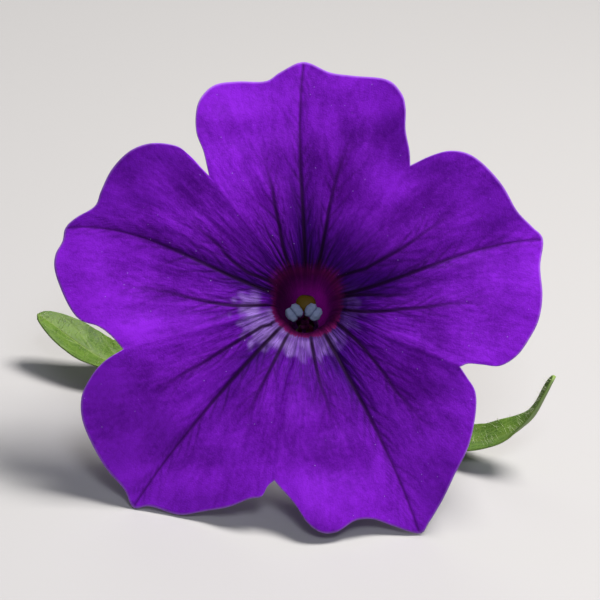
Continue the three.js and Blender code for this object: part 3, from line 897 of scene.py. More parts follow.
PETALS = (
    Petal(  # top
        midrib=(91, 92.3, 90.5),
        crease=(0.225, 0.166),
        ruffle=(0.5, 82),
        rim=(
            (52.2, 21.5), (55.5, 23), (59.8, 24.9), (62.7, 27.3), (65.4, 28.8), (70, 29.7), (78, 29.1),
            (84, 29.1), (90.5, 30.3), (96.3, 29.2), (100.5, 28.3), (107.6, 29.1), (113, 29.6),
            (117.5, 28.8), (120.6, 27.3), (123.2, 25.2), (124.4, 23), (126, 21.4), (128, 19.9),
        ),
        laterals=(
            ((0.68, 5.2), (0.62, 7), (0.5, 10), (0.41, 14.7), (0.4, 20)),
            ((-0.53, 4.9), (-0.46, 8), (-0.41, 12), (-0.41, 16.5), (-0.44, 22)),
        ),
    ),
    Petal(  # left
        midrib=(166, 159, 163.3),
        crease=(0.166, 0.162),
        ruffle=(0.13, 84),
        rim=(
            (128, 19.9), (128.5, 21.5), (128.9, 23.6), (130.2, 25.5), (134.6, 27.8), (139.8, 29.2),
            (146, 29.7), (152, 29.5), (156, 29.4), (160.3, 31.1), (163.3, 32), (166.5, 31.9), (170, 32.4),
            (174, 32), (180.5, 30.3), (184.9, 28.7), (187.2, 26.4), (190.5, 24.9), (195.1, 23.8),
        ),
        laterals=(
            ((0.72, 5.2), (0.68, 9.1), (0.58, 13), (0.49, 17.4), (0.46, 23)),
            ((-0.36, 5.2), (-0.24, 8.1), (-0.28, 10.7), (-0.38, 13), (-0.44, 19)),
        ),
    ),
    Petal(  # lower left
        midrib=(226.6, 227.7, 230.2),
        crease=(0.162, 0.181),
        ruffle=(0.39, 109),
        rim=(
            (195.1, 23.8), (197, 26.6), (200, 29), (204, 31.1), (210, 32.4), (219.3, 33.2), (226, 33.4),
            (230.2, 34.4), (233, 32.9), (239.4, 31.7), (244.6, 29.6), (249.5, 27.9), (254, 26.1),
            (257.2, 25.4), (258.3, 24), (260, 23.1),
        ),
        laterals=(
            ((-0.34, 5.2), (-0.5, 6.6), (-0.5, 10.2), (-0.5, 15.8), (-0.53, 22)),
            ((0.47, 5.4), (0.48, 9), (0.48, 14.3), (0.49, 16.5)),
        ),
    ),
    Petal(  # lower right
        midrib=(299, 298.3, 295.9),
        crease=(0.181, 0.14),
        ruffle=(0.46, 264),
        rim=(
            (260, 23.1), (262.5, 24), (266.7, 25.7), (270.5, 28.1), (274, 29.4), (277.8, 29.5),
            (282.5, 28.6), (287, 29.1), (291, 30.8), (295.9, 33.1), (299, 32.4), (304, 30.9), (310, 29.2),
            (318, 27.7), (326, 25.9), (331.5, 24.4), (334.3, 22.6), (336.5, 21.2),
        ),
        laterals=(
            ((-0.56, 5.4), (-0.51, 10.3), (-0.45, 13), (-0.44, 15.5)),
            ((0.66, 5.4), (0.58, 9), (0.5, 12.5), (0.43, 16), (0.42, 22)),
        ),
    ),
    Petal(  # right
        midrib=(369, 375.8, 374.3),
        crease=(0.14, 0.225),
        ruffle=(0.51, 257),
        rim=(
            (336.5, 21.2), (338.6, 22), (339.8, 23.6), (341.2, 25.9), (345.1, 27.6), (350, 28.7),
            (355, 29.6), (361, 30), (368, 30.1), (374.3, 31.2), (378, 30.3), (383, 29.1), (390, 28.8),
            (397, 28.3), (402, 27.6), (406, 26.2), (409, 24.2), (412.2, 21.5),
        ),
        laterals=(
            ((-0.72, 5.2), (-0.62, 8.5), (-0.52, 12.1), (-0.44, 18.4), (-0.43, 23)),
            ((0.6, 5.2), (0.4, 8.5), (0.36, 13.6), (0.4, 21)),
            ((-0.12, 6.2), (-0.27, 10.3), (-0.3, 14)),
        ),
    ),
)


@dataclass
class Columns:
    """The lines that run up the tube and out over the limb to the rim, one entry for each."""

    petal: Array
    degrees: Array
    radius: Array
    share: Array
    midrib: Array
    crease: Array
    ruffle: Array

    def of(self, petal: int) -> Columns:
        """Only the columns of one petal, with the join at its end.

        Args:
            petal: The petal's number, from 0.

        Returns:
            Its columns.
        """
        keep = np.flatnonzero(self.petal == petal)
        after = (keep[-1] + 1) % len(self.petal)
        own = {name: getattr(self, name)[np.r_[keep, keep[-1]]] for name in self.__dataclass_fields__}
        turn = 360 if self.degrees[after] < self.degrees[keep[-1]] else 0
        own["degrees"][-1] = self.degrees[after] + turn
        own["radius"][-1] = self.radius[after]
        own["share"][-1] = 1.0
        return Columns(**own)


@dataclass
class VeinNet:
    """The veins of the limb's face, drawn on a fine flat grid that is then read at any place.

    twig_width is a twig's width at its start and at its end, and twig_step is the length of its straight
    stretches.
    """

    reach: float = 37.0
    pitch: float = 0.06
    twig_width: tuple[float, float] = (0.36, 0.26)
    twig_step: float = 0.55
    seed: int = 7

    def __post_init__(self) -> None:
        """Starts with a blank grid."""
        side = int(2 * self.reach / self.pitch) + 1
        self.grid = np.zeros((side, side), np.float32)
        self.random = np.random.default_rng(self.seed)

    def draw(self, path: Array, widths: tuple[float, float], strength: Array) -> None:
        """Draws a soft line.

        Args:
            path: Its points, as x and y.
            widths: Its full width at the start and at the end.
            strength: How dark it is at each point, from 0 to 1.
        """
        width = np.linspace(*widths, len(path))
        for k in range(len(path) - 1):
            self.stroke(path[k : k + 2], width[k : k + 2], strength[k : k + 2])

    def stroke(self, ends: Array, widths: Array, darks: Array) -> None:
        """Draws one straight stretch of a line, from what it has at its two ends.

        Args:
            ends: Its two ends, as x and y.
            widths: Its full width at each end.
            darks: How dark it is at each end.
        """
        (a, b), (width_a, width_b), (dark_a, dark_b) = ends, widths, darks
        wide = max(width_a, width_b)
        low = np.floor((np.minimum(a, b) - wide + self.reach) / self.pitch).astype(int)
        high = np.ceil((np.maximum(a, b) + wide + self.reach) / self.pitch).astype(int) + 1
        x0, y0 = np.maximum(low, 0)
        x1, y1 = np.minimum(high, len(self.grid))
        if x1 <= x0 or y1 <= y0:
            return
        x = np.arange(x0, x1) * self.pitch - self.reach - a[0]
        y = np.arange(y0, y1)[:, None] * self.pitch - self.reach - a[1]
        way = b - a
        t = np.clip((x * way[0] + y * way[1]) / max(way @ way, 1e-9), 0, 1)
        distance = np.hypot(x - way[0] * t, y - way[1] * t)
        width = width_a + (width_b - width_a) * t
        dark = (dark_a + (dark_b - dark_a) * t) * (1 - smoothstep(0.25, 1.0, distance / (width * 0.75)))
        window = self.grid[y0:y1, x0:x1]
        np.maximum(window, dark.astype(np.float32), out=window)

    def twigs(self, path: Array, strength: float) -> None:
        """Grows thin branches from both sides of a vein.

        Args:
            path: The vein's points.
            strength: How dark they start.
        """
        radius = np.hypot(path[:, 0], path[:, 1])
        for side in (-1, 1):
            at = radius[0] + self.random.uniform(1.5, 3)
            while at < radius[-1] - 1:
                k = int(np.searchsorted(radius, at))
                way = unit(path[min(k + 1, len(path) - 1)] - path[k - 1])
                self.twig(path[k], way, side, strength * (1 - 0.6 * k / (len(path) - 1)))
                at += self.random.uniform(1.3, 2.6)

    def twig(self, start: Array, way: Array, side: int, strength: float) -> None:
        """Grows one branch, which leaves the vein at a slant and bends back to run outwards.

        Args:
            start: Where it leaves the vein.
            way: The vein's direction there.
            side: 1 for a branch on the vein's left, and -1 for one on its right.
            strength: How dark it starts.
        """
        way = turning(side * math.radians(self.random.uniform(20, 36)))[:2, :2] @ way
        points = [start]
        for _ in range(self.random.integers(7, 15)):
            way = unit(way + 0.06 * unit(points[-1]) + self.random.normal(size=2) * 0.07)
            points.append(points[-1] + way * self.twig_step)
        t = np.linspace(0, 1, len(points))
        self.draw(np.array(points), self.twig_width, strength * (1 - t) ** 0.8)

    def read(self, x: Array, y: Array) -> Array:
        """Reads how dark the drawing is at places."""
        i, j = (np.clip((at + self.reach) / self.pitch, 0, len(self.grid) - 1) for at in (y, x))
        return between(self.grid, i, j)


THROAT_RADIUS = 5.3
RIM_STEPS = 24  # of a petal's outline, between two of its given points


@dataclass
class PetalPattern:
    """Where the petals' colours lie, and where shade and light are painted on them.

    The painted shades are patches of painted shade on the limb, as (x, y, radius, change); a negative change
    darkens it. stain_starts is where the burgundy starts, out from the throat's edge: (direction, distance).
    pale_end is the radius at which the pale patches end, and a side is the direction in degrees in which
    something is strongest. The rest is strengths, from 0 to 1.
    """

    painted_shades: tuple[tuple[float, float, float, float], ...] = (
        (0.5, -16, 5, -0.4),
        (14.5, -8.5, 5, -0.4),
        (19, 14, 6, -0.4),
        (2.5, 19, 5, -0.25),
    )
    stain_starts: tuple[tuple[float, float], ...] = (
        (0, -0.9), (43, 0.1), (90, -0.9), (137, 0.2), (180, -1.8), (223, -1.2), (270, -1.7), (300, -0.5),
    )
    pale_end: float = 6.9
    paleness: float = 0.84
    right_pale: float = 0.22
    shade_side: float = 10.0
    rim_bloom: float = 0.5
    clouds: float = 0.16
    tube_glow: float = 0.45
    tube_glow_side: float = -35.0

    def pale(self, radius: Array, degrees: Array) -> Array:
        """How whitened the face is: in patches at the throat, from the left round to the lower right.

        Args:
            radius: How far out each place is.
            degrees: Its direction.

        Returns:
            The share of white, from 0 to 1.
        """
        angle = degrees % 360
        ring = polar(radius, np.radians(angle))
        below = smoothstep(160, 184, angle) * smoothstep(326, 296, angle)
        below *= 1 - 0.35 * smoothstep(250, 262, angle)
        # On the far left the patch starts a little way out.
        below *= 1 - smoothstep(6.6, 5.6, radius) * smoothstep(200, 188, angle)
        on_right = (angle > 300) | (angle < 60)
        right = np.where(on_right, self.right_pale * smoothstep(30, 5, (angle + 180) % 360 - 180), 0)
        wider = 1.6 * smoothstep(165, 176, angle) * smoothstep(240, 222, angle)
        end = self.pale_end + 0.5 * Ripples(1.5, 11)(ring) + wider
        cloud = self.paleness + 0.22 * Ripples(2.2, 12)(ring)
        return np.clip(np.maximum(below, right) * cloud, 0, 1) * smoothstep(0.9, -1.0, radius - end)

    def stain(self, degrees: Array) -> tuple[Array, Array]:
        """Where the burgundy starts, as a distance out from the throat, and how softly, for each column.

        Args:
            degrees: The direction of each place.

        Returns:
            The distance and the softness.
        """
        start = np.interp(degrees % 360, *np.array(self.stain_starts).T, period=360)
        softness = 0.5 + 1.2 * smoothstep(-0.5, 0.5, np.sin(np.radians(degrees)))
        return start, softness

    def values(self, columns: Columns, out: Array, vein: Array, rim: Array, face: Face) -> dict[str, Array]:
        """Gathers what the petal's finish reads.

        Args:
            columns: The columns.
            out: How far out from the throat each vertex is, or minus its depth in the tube.
            vein: How dark a vein is there.
            rim: The share of the way to the rim.
            face: The side of the petal.

        Returns:
            The values place, fan, marks and tones.
        """
        degrees = np.broadcast_to(columns.degrees, out.shape)
        angle = np.radians(degrees)
        start, softness = self.stain(degrees)
        # Darker round the throat, most at its right, and along the start of each midrib: partly the petal's
        # darker violet, and partly painted shade where the face slopes into the throat and sinks along the
        # midribs.
        near = smoothstep(10, -1, out) * (0.7 + 0.25 * np.cos(angle - math.radians(self.shade_side)))
        seam = 0.6 * np.exp(-((columns.share / 0.25) ** 2)) * smoothstep(18, 4, out)
        dark_violet_and_shade = np.clip(near + seam, 0, 0.92)
        # Brighter towards the rim, in soft clouds, and darkened by painted shade in a few patches.
        flat = polar(out + 5, angle)
        clouds = self.clouds * Ripples(9.0, 5)(flat) * smoothstep(0, 0.3, rim)
        bloom = self.rim_bloom * smoothstep(0.4, 0.95, rim) + clouds
        for x, y, radius, change in self.painted_shades:
            bloom += change * np.exp(-((flat[..., 0] - x) ** 2 + (flat[..., 1] - y) ** 2) / radius**2)
        # In the tube it says where the wall is redder, which is at its lower right: painted light that comes
        # through the wall from behind.
        toward = 0.5 + 0.5 * np.cos(angle - math.radians(self.tube_glow_side))
        bloom = np.where(out < 0, self.tube_glow * toward, bloom)
        # The patterns run outwards, so they are read on a cylinder with the same share of it for each petal.
        turn = (columns.petal * 2 + 1 + columns.share) * math.pi / len(PETALS)
        return {
            "place": joined(out, start, rim),
            "fan": polar(9, turn, out * 0.16),
            "marks": joined(vein, self.pale(out + THROAT_RADIUS, degrees), face.value),
            "tones": joined(dark_violet_and_shade, bloom, softness),
        }


@dataclass
class Corolla:
    """The five petals, grown together into a flat limb, a funnel and a narrow tube.

    swells are where the limb swells towards the eye, or sinks from it: (x, y, radius, height). A vein's two
    widths are at its start and its end, and vein_fade is how far down the tube it fades.
    """

    thickness: float = 0.36
    rim_thickness: float = 0.14
    throat_drop: float = 0.35
    tube_length: float = 28.0
    tube_foot_radius: float = 1.7
    tube_taper: float = 0.7
    funnel_widening: float = 1.8
    funnel_depth: float = 3.6
    tube_droop: float = 0.17
    tube_droop_depth: float = 3.0
    rib_depth: float = 0.3
    rib_reach: float = 4.0
    dish_height: float = 3.36
    dish_flare: float = 4.16
    recurve_from: float = 17.0
    recurve: float = 0.001
    crease_start: float = 2.5
    crease_sink: float = 0.069
    pleat_roundness: float = -0.25
    ruffle_sharpness: float = 5.0
    ruffles_per_petal: float = 2.5
    swells: tuple[tuple[float, float, float, float], ...] = (
        (3, -26, 5, 0.8),
        (-25, -4, 6, 1.5),
        (12, 17, 6, -1.5),
        (-4, -19, 4, 0.3),
        (-16, 7, 5.5, 1.5),
        (-18, -13, 5.5, 1.5),
        (0, -29, 4, 1.5),
        (14, 5, 5.5, 1.1),
    )
    midrib_width: tuple[float, float] = (0.75, 0.4)
    lateral_width: tuple[float, float] = (0.6, 0.45)
    vein_start: float = 4.0
    furrow_depth: float = 0.05
    vein_fade: float = 8.0
    unevenness: float = 0.1
    fan_lines: int = 13
    half_columns: int = 60
    face_rows: int = 84
    back_rows: int = 26
    tube_rows: int = 34
    pattern: PetalPattern = field(default_factory=PetalPattern)

    def columns(self) -> Columns:
        """Sets out the columns, evenly along the rim, with one on each midrib and each join.

        Returns:
            The columns of all five petals.
        """
        parts = []
        for number, petal in enumerate(PETALS):
            around, radii = np.array(petal.rim).T
            curve = spline(polar(radii, np.radians(around)), RIM_STEPS, chordal=False)
            start, tip, end = around[0], petal.midrib[2], around[-1]
            at_tip = RIM_STEPS * int(np.flatnonzero(around == tip)[0])
            halves = (spaced(half, self.half_columns)[:-1] for half in (curve[: at_tip + 1], curve[at_tip:]))
            points = np.vstack([*halves])
            raw = np.degrees(np.arctan2(points[:, 1], points[:, 0]))
            degrees = raw + 360 * np.round((tip - raw) / 360)
            share = np.where(degrees > tip, (degrees - tip) / (end - tip), (degrees - tip) / (tip - start))
            share[self.half_columns] = 0.0
            count = len(points)
            side = (share > 0).astype(int)
            parts.append(
                Columns(
                    petal=np.full(count, number),
                    degrees=degrees,
                    radius=np.hypot(points[:, 0], points[:, 1]),
                    share=share,
                    midrib=np.tile(petal.midrib, (count, 1)),
                    crease=np.array(petal.crease)[side],
                    ruffle=np.tile(petal.ruffle, (count, 1)),
                )
            )
        names = Columns.__dataclass_fields__
        return Columns(*(np.concatenate([getattr(part, name) for part in parts]) for name in names))

    def spot(self, columns: Columns, u: Array) -> tuple[Array, Array]:
        """Where the limb's columns pass, as x and y, at shares u of the way from the throat to the rim.

        Args:
            columns: The columns.
            u: The shares.

        Returns:
            x and y, rows x columns.
        """
        u = np.asarray(u, float).reshape(-1, 1)
        throat = self.throat(columns.degrees)
        radius = throat + (columns.radius - throat) * u
        angle = self.course(columns.midrib, columns.degrees, columns.share, u)
        return radius * np.cos(angle), radius * np.sin(angle)

    def throat(self, degrees: Array) -> Array:
        """The radius at which what reaches the rim at a direction leaves the throat."""
        return THROAT_RADIUS - self.throat_drop * np.sin(np.radians(degrees))

    def course(self, midrib: Array, degrees: Array, share: Array, u: Array) -> Array:
        """The direction, in radians, of a line that bends as its petal's midrib does.

        Args:
            midrib: The midrib's three directions.
            degrees: The line's direction at the rim.
            share: Its share of the half petal.
            u: How far out it is read, as a share of the way to the rim.

        Returns:
            The direction there.
        """
        bow = through(midrib, u) - midrib[..., 2]
        return np.radians(degrees + bow * (1 - np.abs(share)))

    def limb(self, columns: Columns, u: Array) -> Array:
        """The limb's middle surface, rows x columns x 3.

        Args:
            columns: The columns.
            u: The rows, as shares of the way from the throat to the rim.

        Returns:
            The points.
        """
        u = np.asarray(u, float).reshape(-1, 1)
        x, y = self.spot(columns, u)
        radius, throat = np.hypot(x, y), self.throat(columns.degrees)
        rise = self.dish_height * (1 - np.exp((throat - radius) / self.dish_flare))
        dish = rise - self.recurve * np.maximum(0, radius - self.recurve_from) ** 2
        crease = self.crease_height(columns, radius)
        wave = np.sin(math.pi * self.ruffles_per_petal * columns.share + np.radians(columns.ruffle[:, 1]))
        ruffle = columns.ruffle[:, 0] * u**self.ruffle_sharpness * wave
        swell = sum(h * np.exp(-((x - sx) ** 2 + (y - sy) ** 2) / s**2) for sx, sy, s, h in self.swells)
        return joined(x, y, dish + crease + ruffle + swell)

    def crease_height(self, columns: Columns, radius: Array) -> Array:
        """How far the face rises over its dish at a radius: most at the joins, and it sinks at midribs.

        Args:
            columns: The columns.
            radius: How far out they are read.

        Returns:
            The height.
        """
        share = np.abs(columns.share)
        pleat = share + self.pleat_roundness * (np.sin(share * math.pi / 2) - share)
        return (columns.crease * pleat - self.crease_sink) * (radius - self.crease_start)

    def tube_radius(self, depth: Array) -> Array:
        """The radius of the tube's middle surface at a depth behind the throat.

        Args:
            depth: How deep, in millimetres.

        Returns:
            The radius.
        """
        wide = THROAT_RADIUS - self.tube_foot_radius - self.funnel_widening
        tube = self.tube_foot_radius + wide * (1 - depth / self.tube_length) ** self.tube_taper
        return tube + self.funnel_widening * np.exp(-depth / self.funnel_depth)

    def slope(self, depth: Array) -> Array:
        """How steeply the tube's axis droops at a depth."""
        return self.tube_droop * (1 - np.exp(-depth / self.tube_droop_depth))

    def axis(self, depth: Array) -> Array:
        """The tube's axis at depths behind the throat, as points.

        Args:
            depth: The depths.

        Returns:
            A point for each depth.
        """
        depth = np.asarray(depth, float)
        straight = self.tube_droop_depth * (1 - np.exp(-depth / self.tube_droop_depth))
        droop = self.tube_droop * (depth - straight)
        return joined(0, -self.throat_drop - droop, -depth)

    def in_tube(self, depth: Array, degrees: Array, radius: Array) -> Array:
        """Points at a direction and distance from the tube's axis, square to it.

        Args:
            depth: How deep each point is.
            degrees: Its direction.
            radius: Its distance.

        Returns:
            The points.
        """
        depth, degrees, radius = np.broadcast_arrays(depth, degrees, radius)
        up = unit(joined(0, 1, -self.slope(depth)))
        angle = np.radians(degrees)[..., None]
        return self.axis(depth) + (RIGHT * np.cos(angle) + up * np.sin(angle)) * radius[..., None]

    def tube(self, columns: Columns, depth: Array) -> Array:
        """The tube's middle surface, rows x columns x 3.

        Args:
            columns: The columns.
            depth: The rows, as depths behind the throat.

        Returns:
            The points.
        """
        depth = np.asarray(depth, float).reshape(-1, 1)
        x, y = self.spot(columns, np.array([0.0]))
        around = np.degrees(np.arctan2(y + self.throat_drop, x))
        deep = depth / self.rib_reach * np.exp(1 - depth / self.rib_reach)
        groove = self.rib_depth * (1 - np.sin(np.abs(columns.share) * math.pi / 2)) * deep
        points = self.in_tube(depth, around, self.tube_radius(depth) - groove)
        crease = self.crease_height(columns, self.throat(columns.degrees))
        points[..., 2] += crease * np.exp(-depth / self.funnel_depth)
        return points

    def vein_path(self, own: Columns, share: Array, radius: Array) -> Array:
        """The course of a vein on one petal, from its shares and radii, as x and y.

        Args:
            own: The petal's columns.
            share: The vein's shares of the half petal.
            radius: Its radii.

        Returns:
            The vein's points.
        """
        degrees = np.interp(share, own.share, own.degrees)
        out = np.interp(share, own.share, own.radius)
        throat = self.throat(degrees)
        u = (radius - throat) / (out - throat)
        return polar(radius, self.course(own.midrib[0], degrees, share, u))

    def veins(self, columns: Columns) -> VeinNet:
        """Draws each petal's midrib and side veins, the twigs of both, and a dense fan at the throat.

        Args:
            columns: The columns.

        Returns:
            The veins.
        """
        net = VeinNet()
        for number, petal in enumerate(PETALS):
            own = columns.of(number)
            reach = own.radius[np.argmin(np.abs(own.share))]
            t = np.linspace(0, 1, 60)
            out = np.linspace(self.vein_start, reach - 0.3, len(t))
            path = self.vein_path(own, np.zeros_like(t), out)
            net.draw(path, self.midrib_width, 1.0 - 0.35 * t)
            net.twigs(path, 0.75)
            for lateral in petal.laterals:
                shares, radii = np.array(lateral).T
                t = np.linspace(0, 1, 40)
                out = np.linspace(radii[0] - 0.8, radii[-1], len(t))
                path = self.vein_path(own, np.interp(out, radii, shares), out)
                net.draw(path, self.lateral_width, 1.0 - 0.35 * t - 0.5 * t**4)
                net.twigs(path, 0.7)
            self.throat_fan(net, own)
        return net

    def throat_fan(self, net: VeinNet, own: Columns) -> None:
        """Draws the dense fine lines that run out of the throat, some of which fork.

        Args:
            net: Where they are drawn.
            own: One petal's columns.
        """
        random = net.random
        t = np.linspace(0, 1, 18)
        for share in np.linspace(-0.94, 0.94, self.fan_lines):
            start = share + random.uniform(-0.04, 0.04)
            length = 1.4 + random.exponential(2.2)
            radius = np.linspace(self.vein_start, 5.6 + min(length, 9), len(t))
            wiggle = 0.02 * np.sin(radius * random.uniform(1.2, 2.4) + random.uniform(0, 6))
            # The lines are fainter below the throat.
            below = smoothstep(0.3, -0.35, math.sin(math.radians(np.interp(start, own.share, own.degrees))))
            dark = random.uniform(0.75, 1.0) * (1 - 0.4 * below)
            fork = random.uniform(0.4, 0.75)
            for split in (-1, 1):
                apart = split * 0.045 * np.maximum(0, t - fork) / (1 - fork)
                shares = np.clip(start * (1 - 0.08 * t) + wiggle * t + apart, -1, 1)
                net.draw(self.vein_path(own, shares, radius), net.twig_width, dark * (1 - t**2))

    def side(
        self, columns: Columns, net: VeinNet, face: Face, u: Array, depth: Array
    ) -> tuple[Array, dict[str, Array]]:
        """Works out one side of the whole corolla, from the tube's foot to the rim.

        Args:
            columns: The columns.
            net: The veins.
            face: Which side.
            u: The rows of the limb, as shares of the way to the rim.
            depth: The rows of the tube.

        Returns:
            The points, rows x columns x 3, and what the petal's finish reads at each of them.
        """
        middle = np.concatenate([self.tube(columns, depth), self.limb(columns, u)])
        x, y = middle[..., 0], middle[..., 1]
        rows = len(depth)
        vein = net.read(x, y)
        at_throat = net.read(*self.spot(columns, np.array([0.01])))
        vein[:rows] = at_throat * np.exp(-depth[:, None] / self.vein_fade)
        out = np.hypot(x, y) - self.throat(columns.degrees)
        out[:rows] = -depth[:, None]
        rim = np.concatenate([np.zeros(rows), u])[:, None]
        values = self.pattern.values(columns, out, vein, rim, face)
        # The limb is a little uneven, and its veins lie in shallow furrows.
        middle[..., 2] += self.unevenness * Ripples(5.0, 3)(middle[..., :2]) * smoothstep(0.1, 0.5, rim)
        thin = self.thickness + (self.rim_thickness - self.thickness) * smoothstep(0.9, 1, rim)
        offset = face.sign * thin / 2 - self.furrow_depth * vein * smoothstep(0, 0.05, rim)
        return middle + normals(middle, closed=True) * offset[..., None], values

    def build(self, frame: FlowerFrame) -> bpy.types.Object:
        """Builds the corolla.

        Args:
            frame: The flower's frame, which is seated here.

        Returns:
            The object.
        """
        columns = self.columns()
        net = self.veins(columns)
        # The rows are closer together at the throat.
        face_u = np.linspace(0, 1, self.face_rows) ** 1.25
        back_u = np.linspace(0, 1, self.back_rows) ** 1.1
        depth = self.tube_length * np.linspace(1, 0.005, self.tube_rows) ** 1.6
        face, face_values = self.side(columns, net, Face.INNER, face_u, depth)
        back, back_values = self.side(columns, net, Face.OUTER, back_u, depth[::2])
        frame.seat(np.concatenate([face, back]), "corolla")
        draft = Draft()
        face_index = draft.add(frame.place(face), face_values)
        back_index = draft.add(frame.place(back), back_values)
        draft.quads(face_index, closed=True)
        draft.quads(back_index, closed=True, turned=True)
        draft.quads(np.stack([face_index[-1], back_index[-1]]), closed=True)
        draft.quads(np.stack([back_index[0], face_index[0]]), closed=True)
        return draft.finish("corolla_petals", PetalTissue())


# ---- Stamens and pistil ----


@dataclass(frozen=True)
class Stamen:
    """One stamen. foot is the direction of its foot from the tube's axis, anther is its anther's middle,
    lean turns the anther, and scale is the anther's size."""

    foot: float
    anther: tuple[float, float, float]
    lean: float
    scale: float = 1.0


@dataclass
class Stamens:
    """The five stamens: a filament each, with an anther of two sacs across its end."""

    stamens: tuple[Stamen, ...] = (
        Stamen(196, (-1.55, -1.65, -8), 38),
        Stamen(336, (0.96, -1.6, -8.1), -38),
        Stamen(260, (-0.15, -3.25, -15.6), 90, 0.62),
        Stamen(128, (-1.23, -1.56, -14.9), 30, 0.7),
        Stamen(52, (1.25, -2.05, -16.6), -30, 0.64),
    )
    filament_radius: tuple[float, float] = (0.38, 0.3)
    foot_depth: float = 20.0
    wall: float = 0.35
    gap: float = 0.3
    lobe: tuple[float, float, float] = (0.7, 0.98, 0.62)
    lobe_spread: float = 0.44
    opened: int = 2
    corolla: Corolla = field(default_factory=Corolla)

    def build(self, frame: FlowerFrame) -> list[bpy.types.Object]:
        """Builds the stamens, in order."""
        return [self.one(stamen, number, frame) for number, stamen in enumerate(self.stamens, start=1)]

    def one(self, stamen: Stamen, number: int, frame: FlowerFrame) -> bpy.types.Object:
        """Builds one stamen.

        Args:
            stamen: Which.
            number: Its number, from 1.
            frame: The flower's frame.

        Returns:
            The object.
        """
        draft = Draft()
        path = self.path(stamen)
        radii = np.linspace(*self.filament_radius, len(path)) * 0.85
        draft.tube(frame.place(path), radii, 14, {"groove": np.zeros(len(path))}, slot=1)
        for side in (-1, 1):
            points, groove = self.sac(stamen, side, number)
            draft.quads(draft.add(frame.place(points), {"groove": groove}), closed=True)
        sacs = Pollen() if number <= self.opened else UNOPENED
        return draft.finish(f"stamen_{number}_anther", sacs, FILAMENT)

    def path(self, stamen: Stamen) -> Array:
        """The filament's course.

        Args:
            stamen: The stamen.

        Returns:
            Its points.
        """
        head = np.array(stamen.anther)
        depths = np.array([self.foot_depth, self.foot_depth - 2.4])
        inside = self.corolla.tube_radius(depths) - self.wall - self.filament_radius[0] - self.gap
        low, free = self.corolla.in_tube(depths, stamen.foot, inside)
        neck = head + (free - head) * 0.3
        return spaced(spline(np.array([low, free, neck, head]), 40, chordal=True), 36)

    def sac(self, stamen: Stamen, side: int, seed: int) -> tuple[Array, Array]:
        """One of an anther's two sacs, as rows of rings, and how near to their groove each point is.

        Args:
            stamen: The stamen.
            side: -1 for the left sac, and 1 for the right one.
            seed: Seeds its unevenness.

        Returns:
            The points, and 1 in the groove and 0 away from it.
        """
        around = np.linspace(0, 2 * math.pi, 44, endpoint=False)
        along = np.linspace(0.001, math.pi - 0.001, 30)[:, None]
        sphere = joined(np.sin(along) * np.cos(around), np.cos(along), np.sin(along) * np.sin(around))
        # The side of each sac that faces the other gets the groove's painted shade.
        groove = 0.95 * smoothstep(0.35, 0.8, -side * sphere[..., 0])
        swell = 1 + 0.05 * Ripples(0.7, 40 + 2 * seed + side)(sphere)
        points = sphere * np.array(self.lobe) * swell[..., None]
        points[..., 0] += side * self.lobe_spread
        points = points * stamen.scale @ turning(math.radians(stamen.lean)).T
        return points + np.array(stamen.anther), groove


@dataclass(frozen=True)
class TubeFoot:
    """The frame of what stands at the tube's foot: its origin there, and Z up the tube."""

    origin: Array
    slope: float

    def place(self, points: Array) -> Array:
        """Turns points in this frame to the flower's."""
        return points @ turning(-math.atan(self.slope), 1, 2).T + self.origin

    @staticmethod
    def of(corolla: Corolla) -> TubeFoot:
        """The foot of a corolla's tube."""
        depth = np.array(corolla.tube_length)
        return TubeFoot(corolla.axis(depth), float(corolla.slope(depth)))


@dataclass
class Pistil:
    """Ovary, style and a two-lobed stigma, as (distance from the receptacle, radius)."""

    profile: tuple[tuple[float, float], ...] = (
        (0, 0.8), (0.7, 1.02), (2, 1.1), (3.4, 0.9), (4.4, 0.5), (6, 0.36), (11, 0.34), (16.6, 0.36),
        (17.2, 0.8), (17.7, 1.25), (18.2, 1.3), (18.6, 0.9),
    )
    rise: float = 1.2
    sides: int = 40

    def build(self, frame: FlowerFrame, foot: TubeFoot) -> bpy.types.Object:
        """Builds the pistil on the tube's foot.

        Args:
            frame: The flower's frame.
            foot: The frame of what stands at the tube's foot.

        Returns:
            The object.
        """
        height, radius = spline(np.array(self.profile), 10, chordal=True).T
        head = smoothstep(16.6, 17.4, height)
        angle = (np.arange(self.sides) + 0.5) * 2 * math.pi / self.sides
        # The stigma's two lobes lie left and right, with a dent between them.
        dent = 1 - 0.14 * head[:, None] * np.abs(np.sin(angle)) ** 6
        path = joined(0, self.rise * (height / height[-1]) ** 2, height)
        draft = Draft()
        values = {"head": head, "lip": smoothstep(17.9, 17.2, height) * head}
        draft.tube(frame.place(foot.place(path)), radius[:, None] * dent, self.sides, values)
        return draft.finish("pistil_stigma_style", StigmaTissue())


# ---- Calyx, stalk, stem and leaves ----


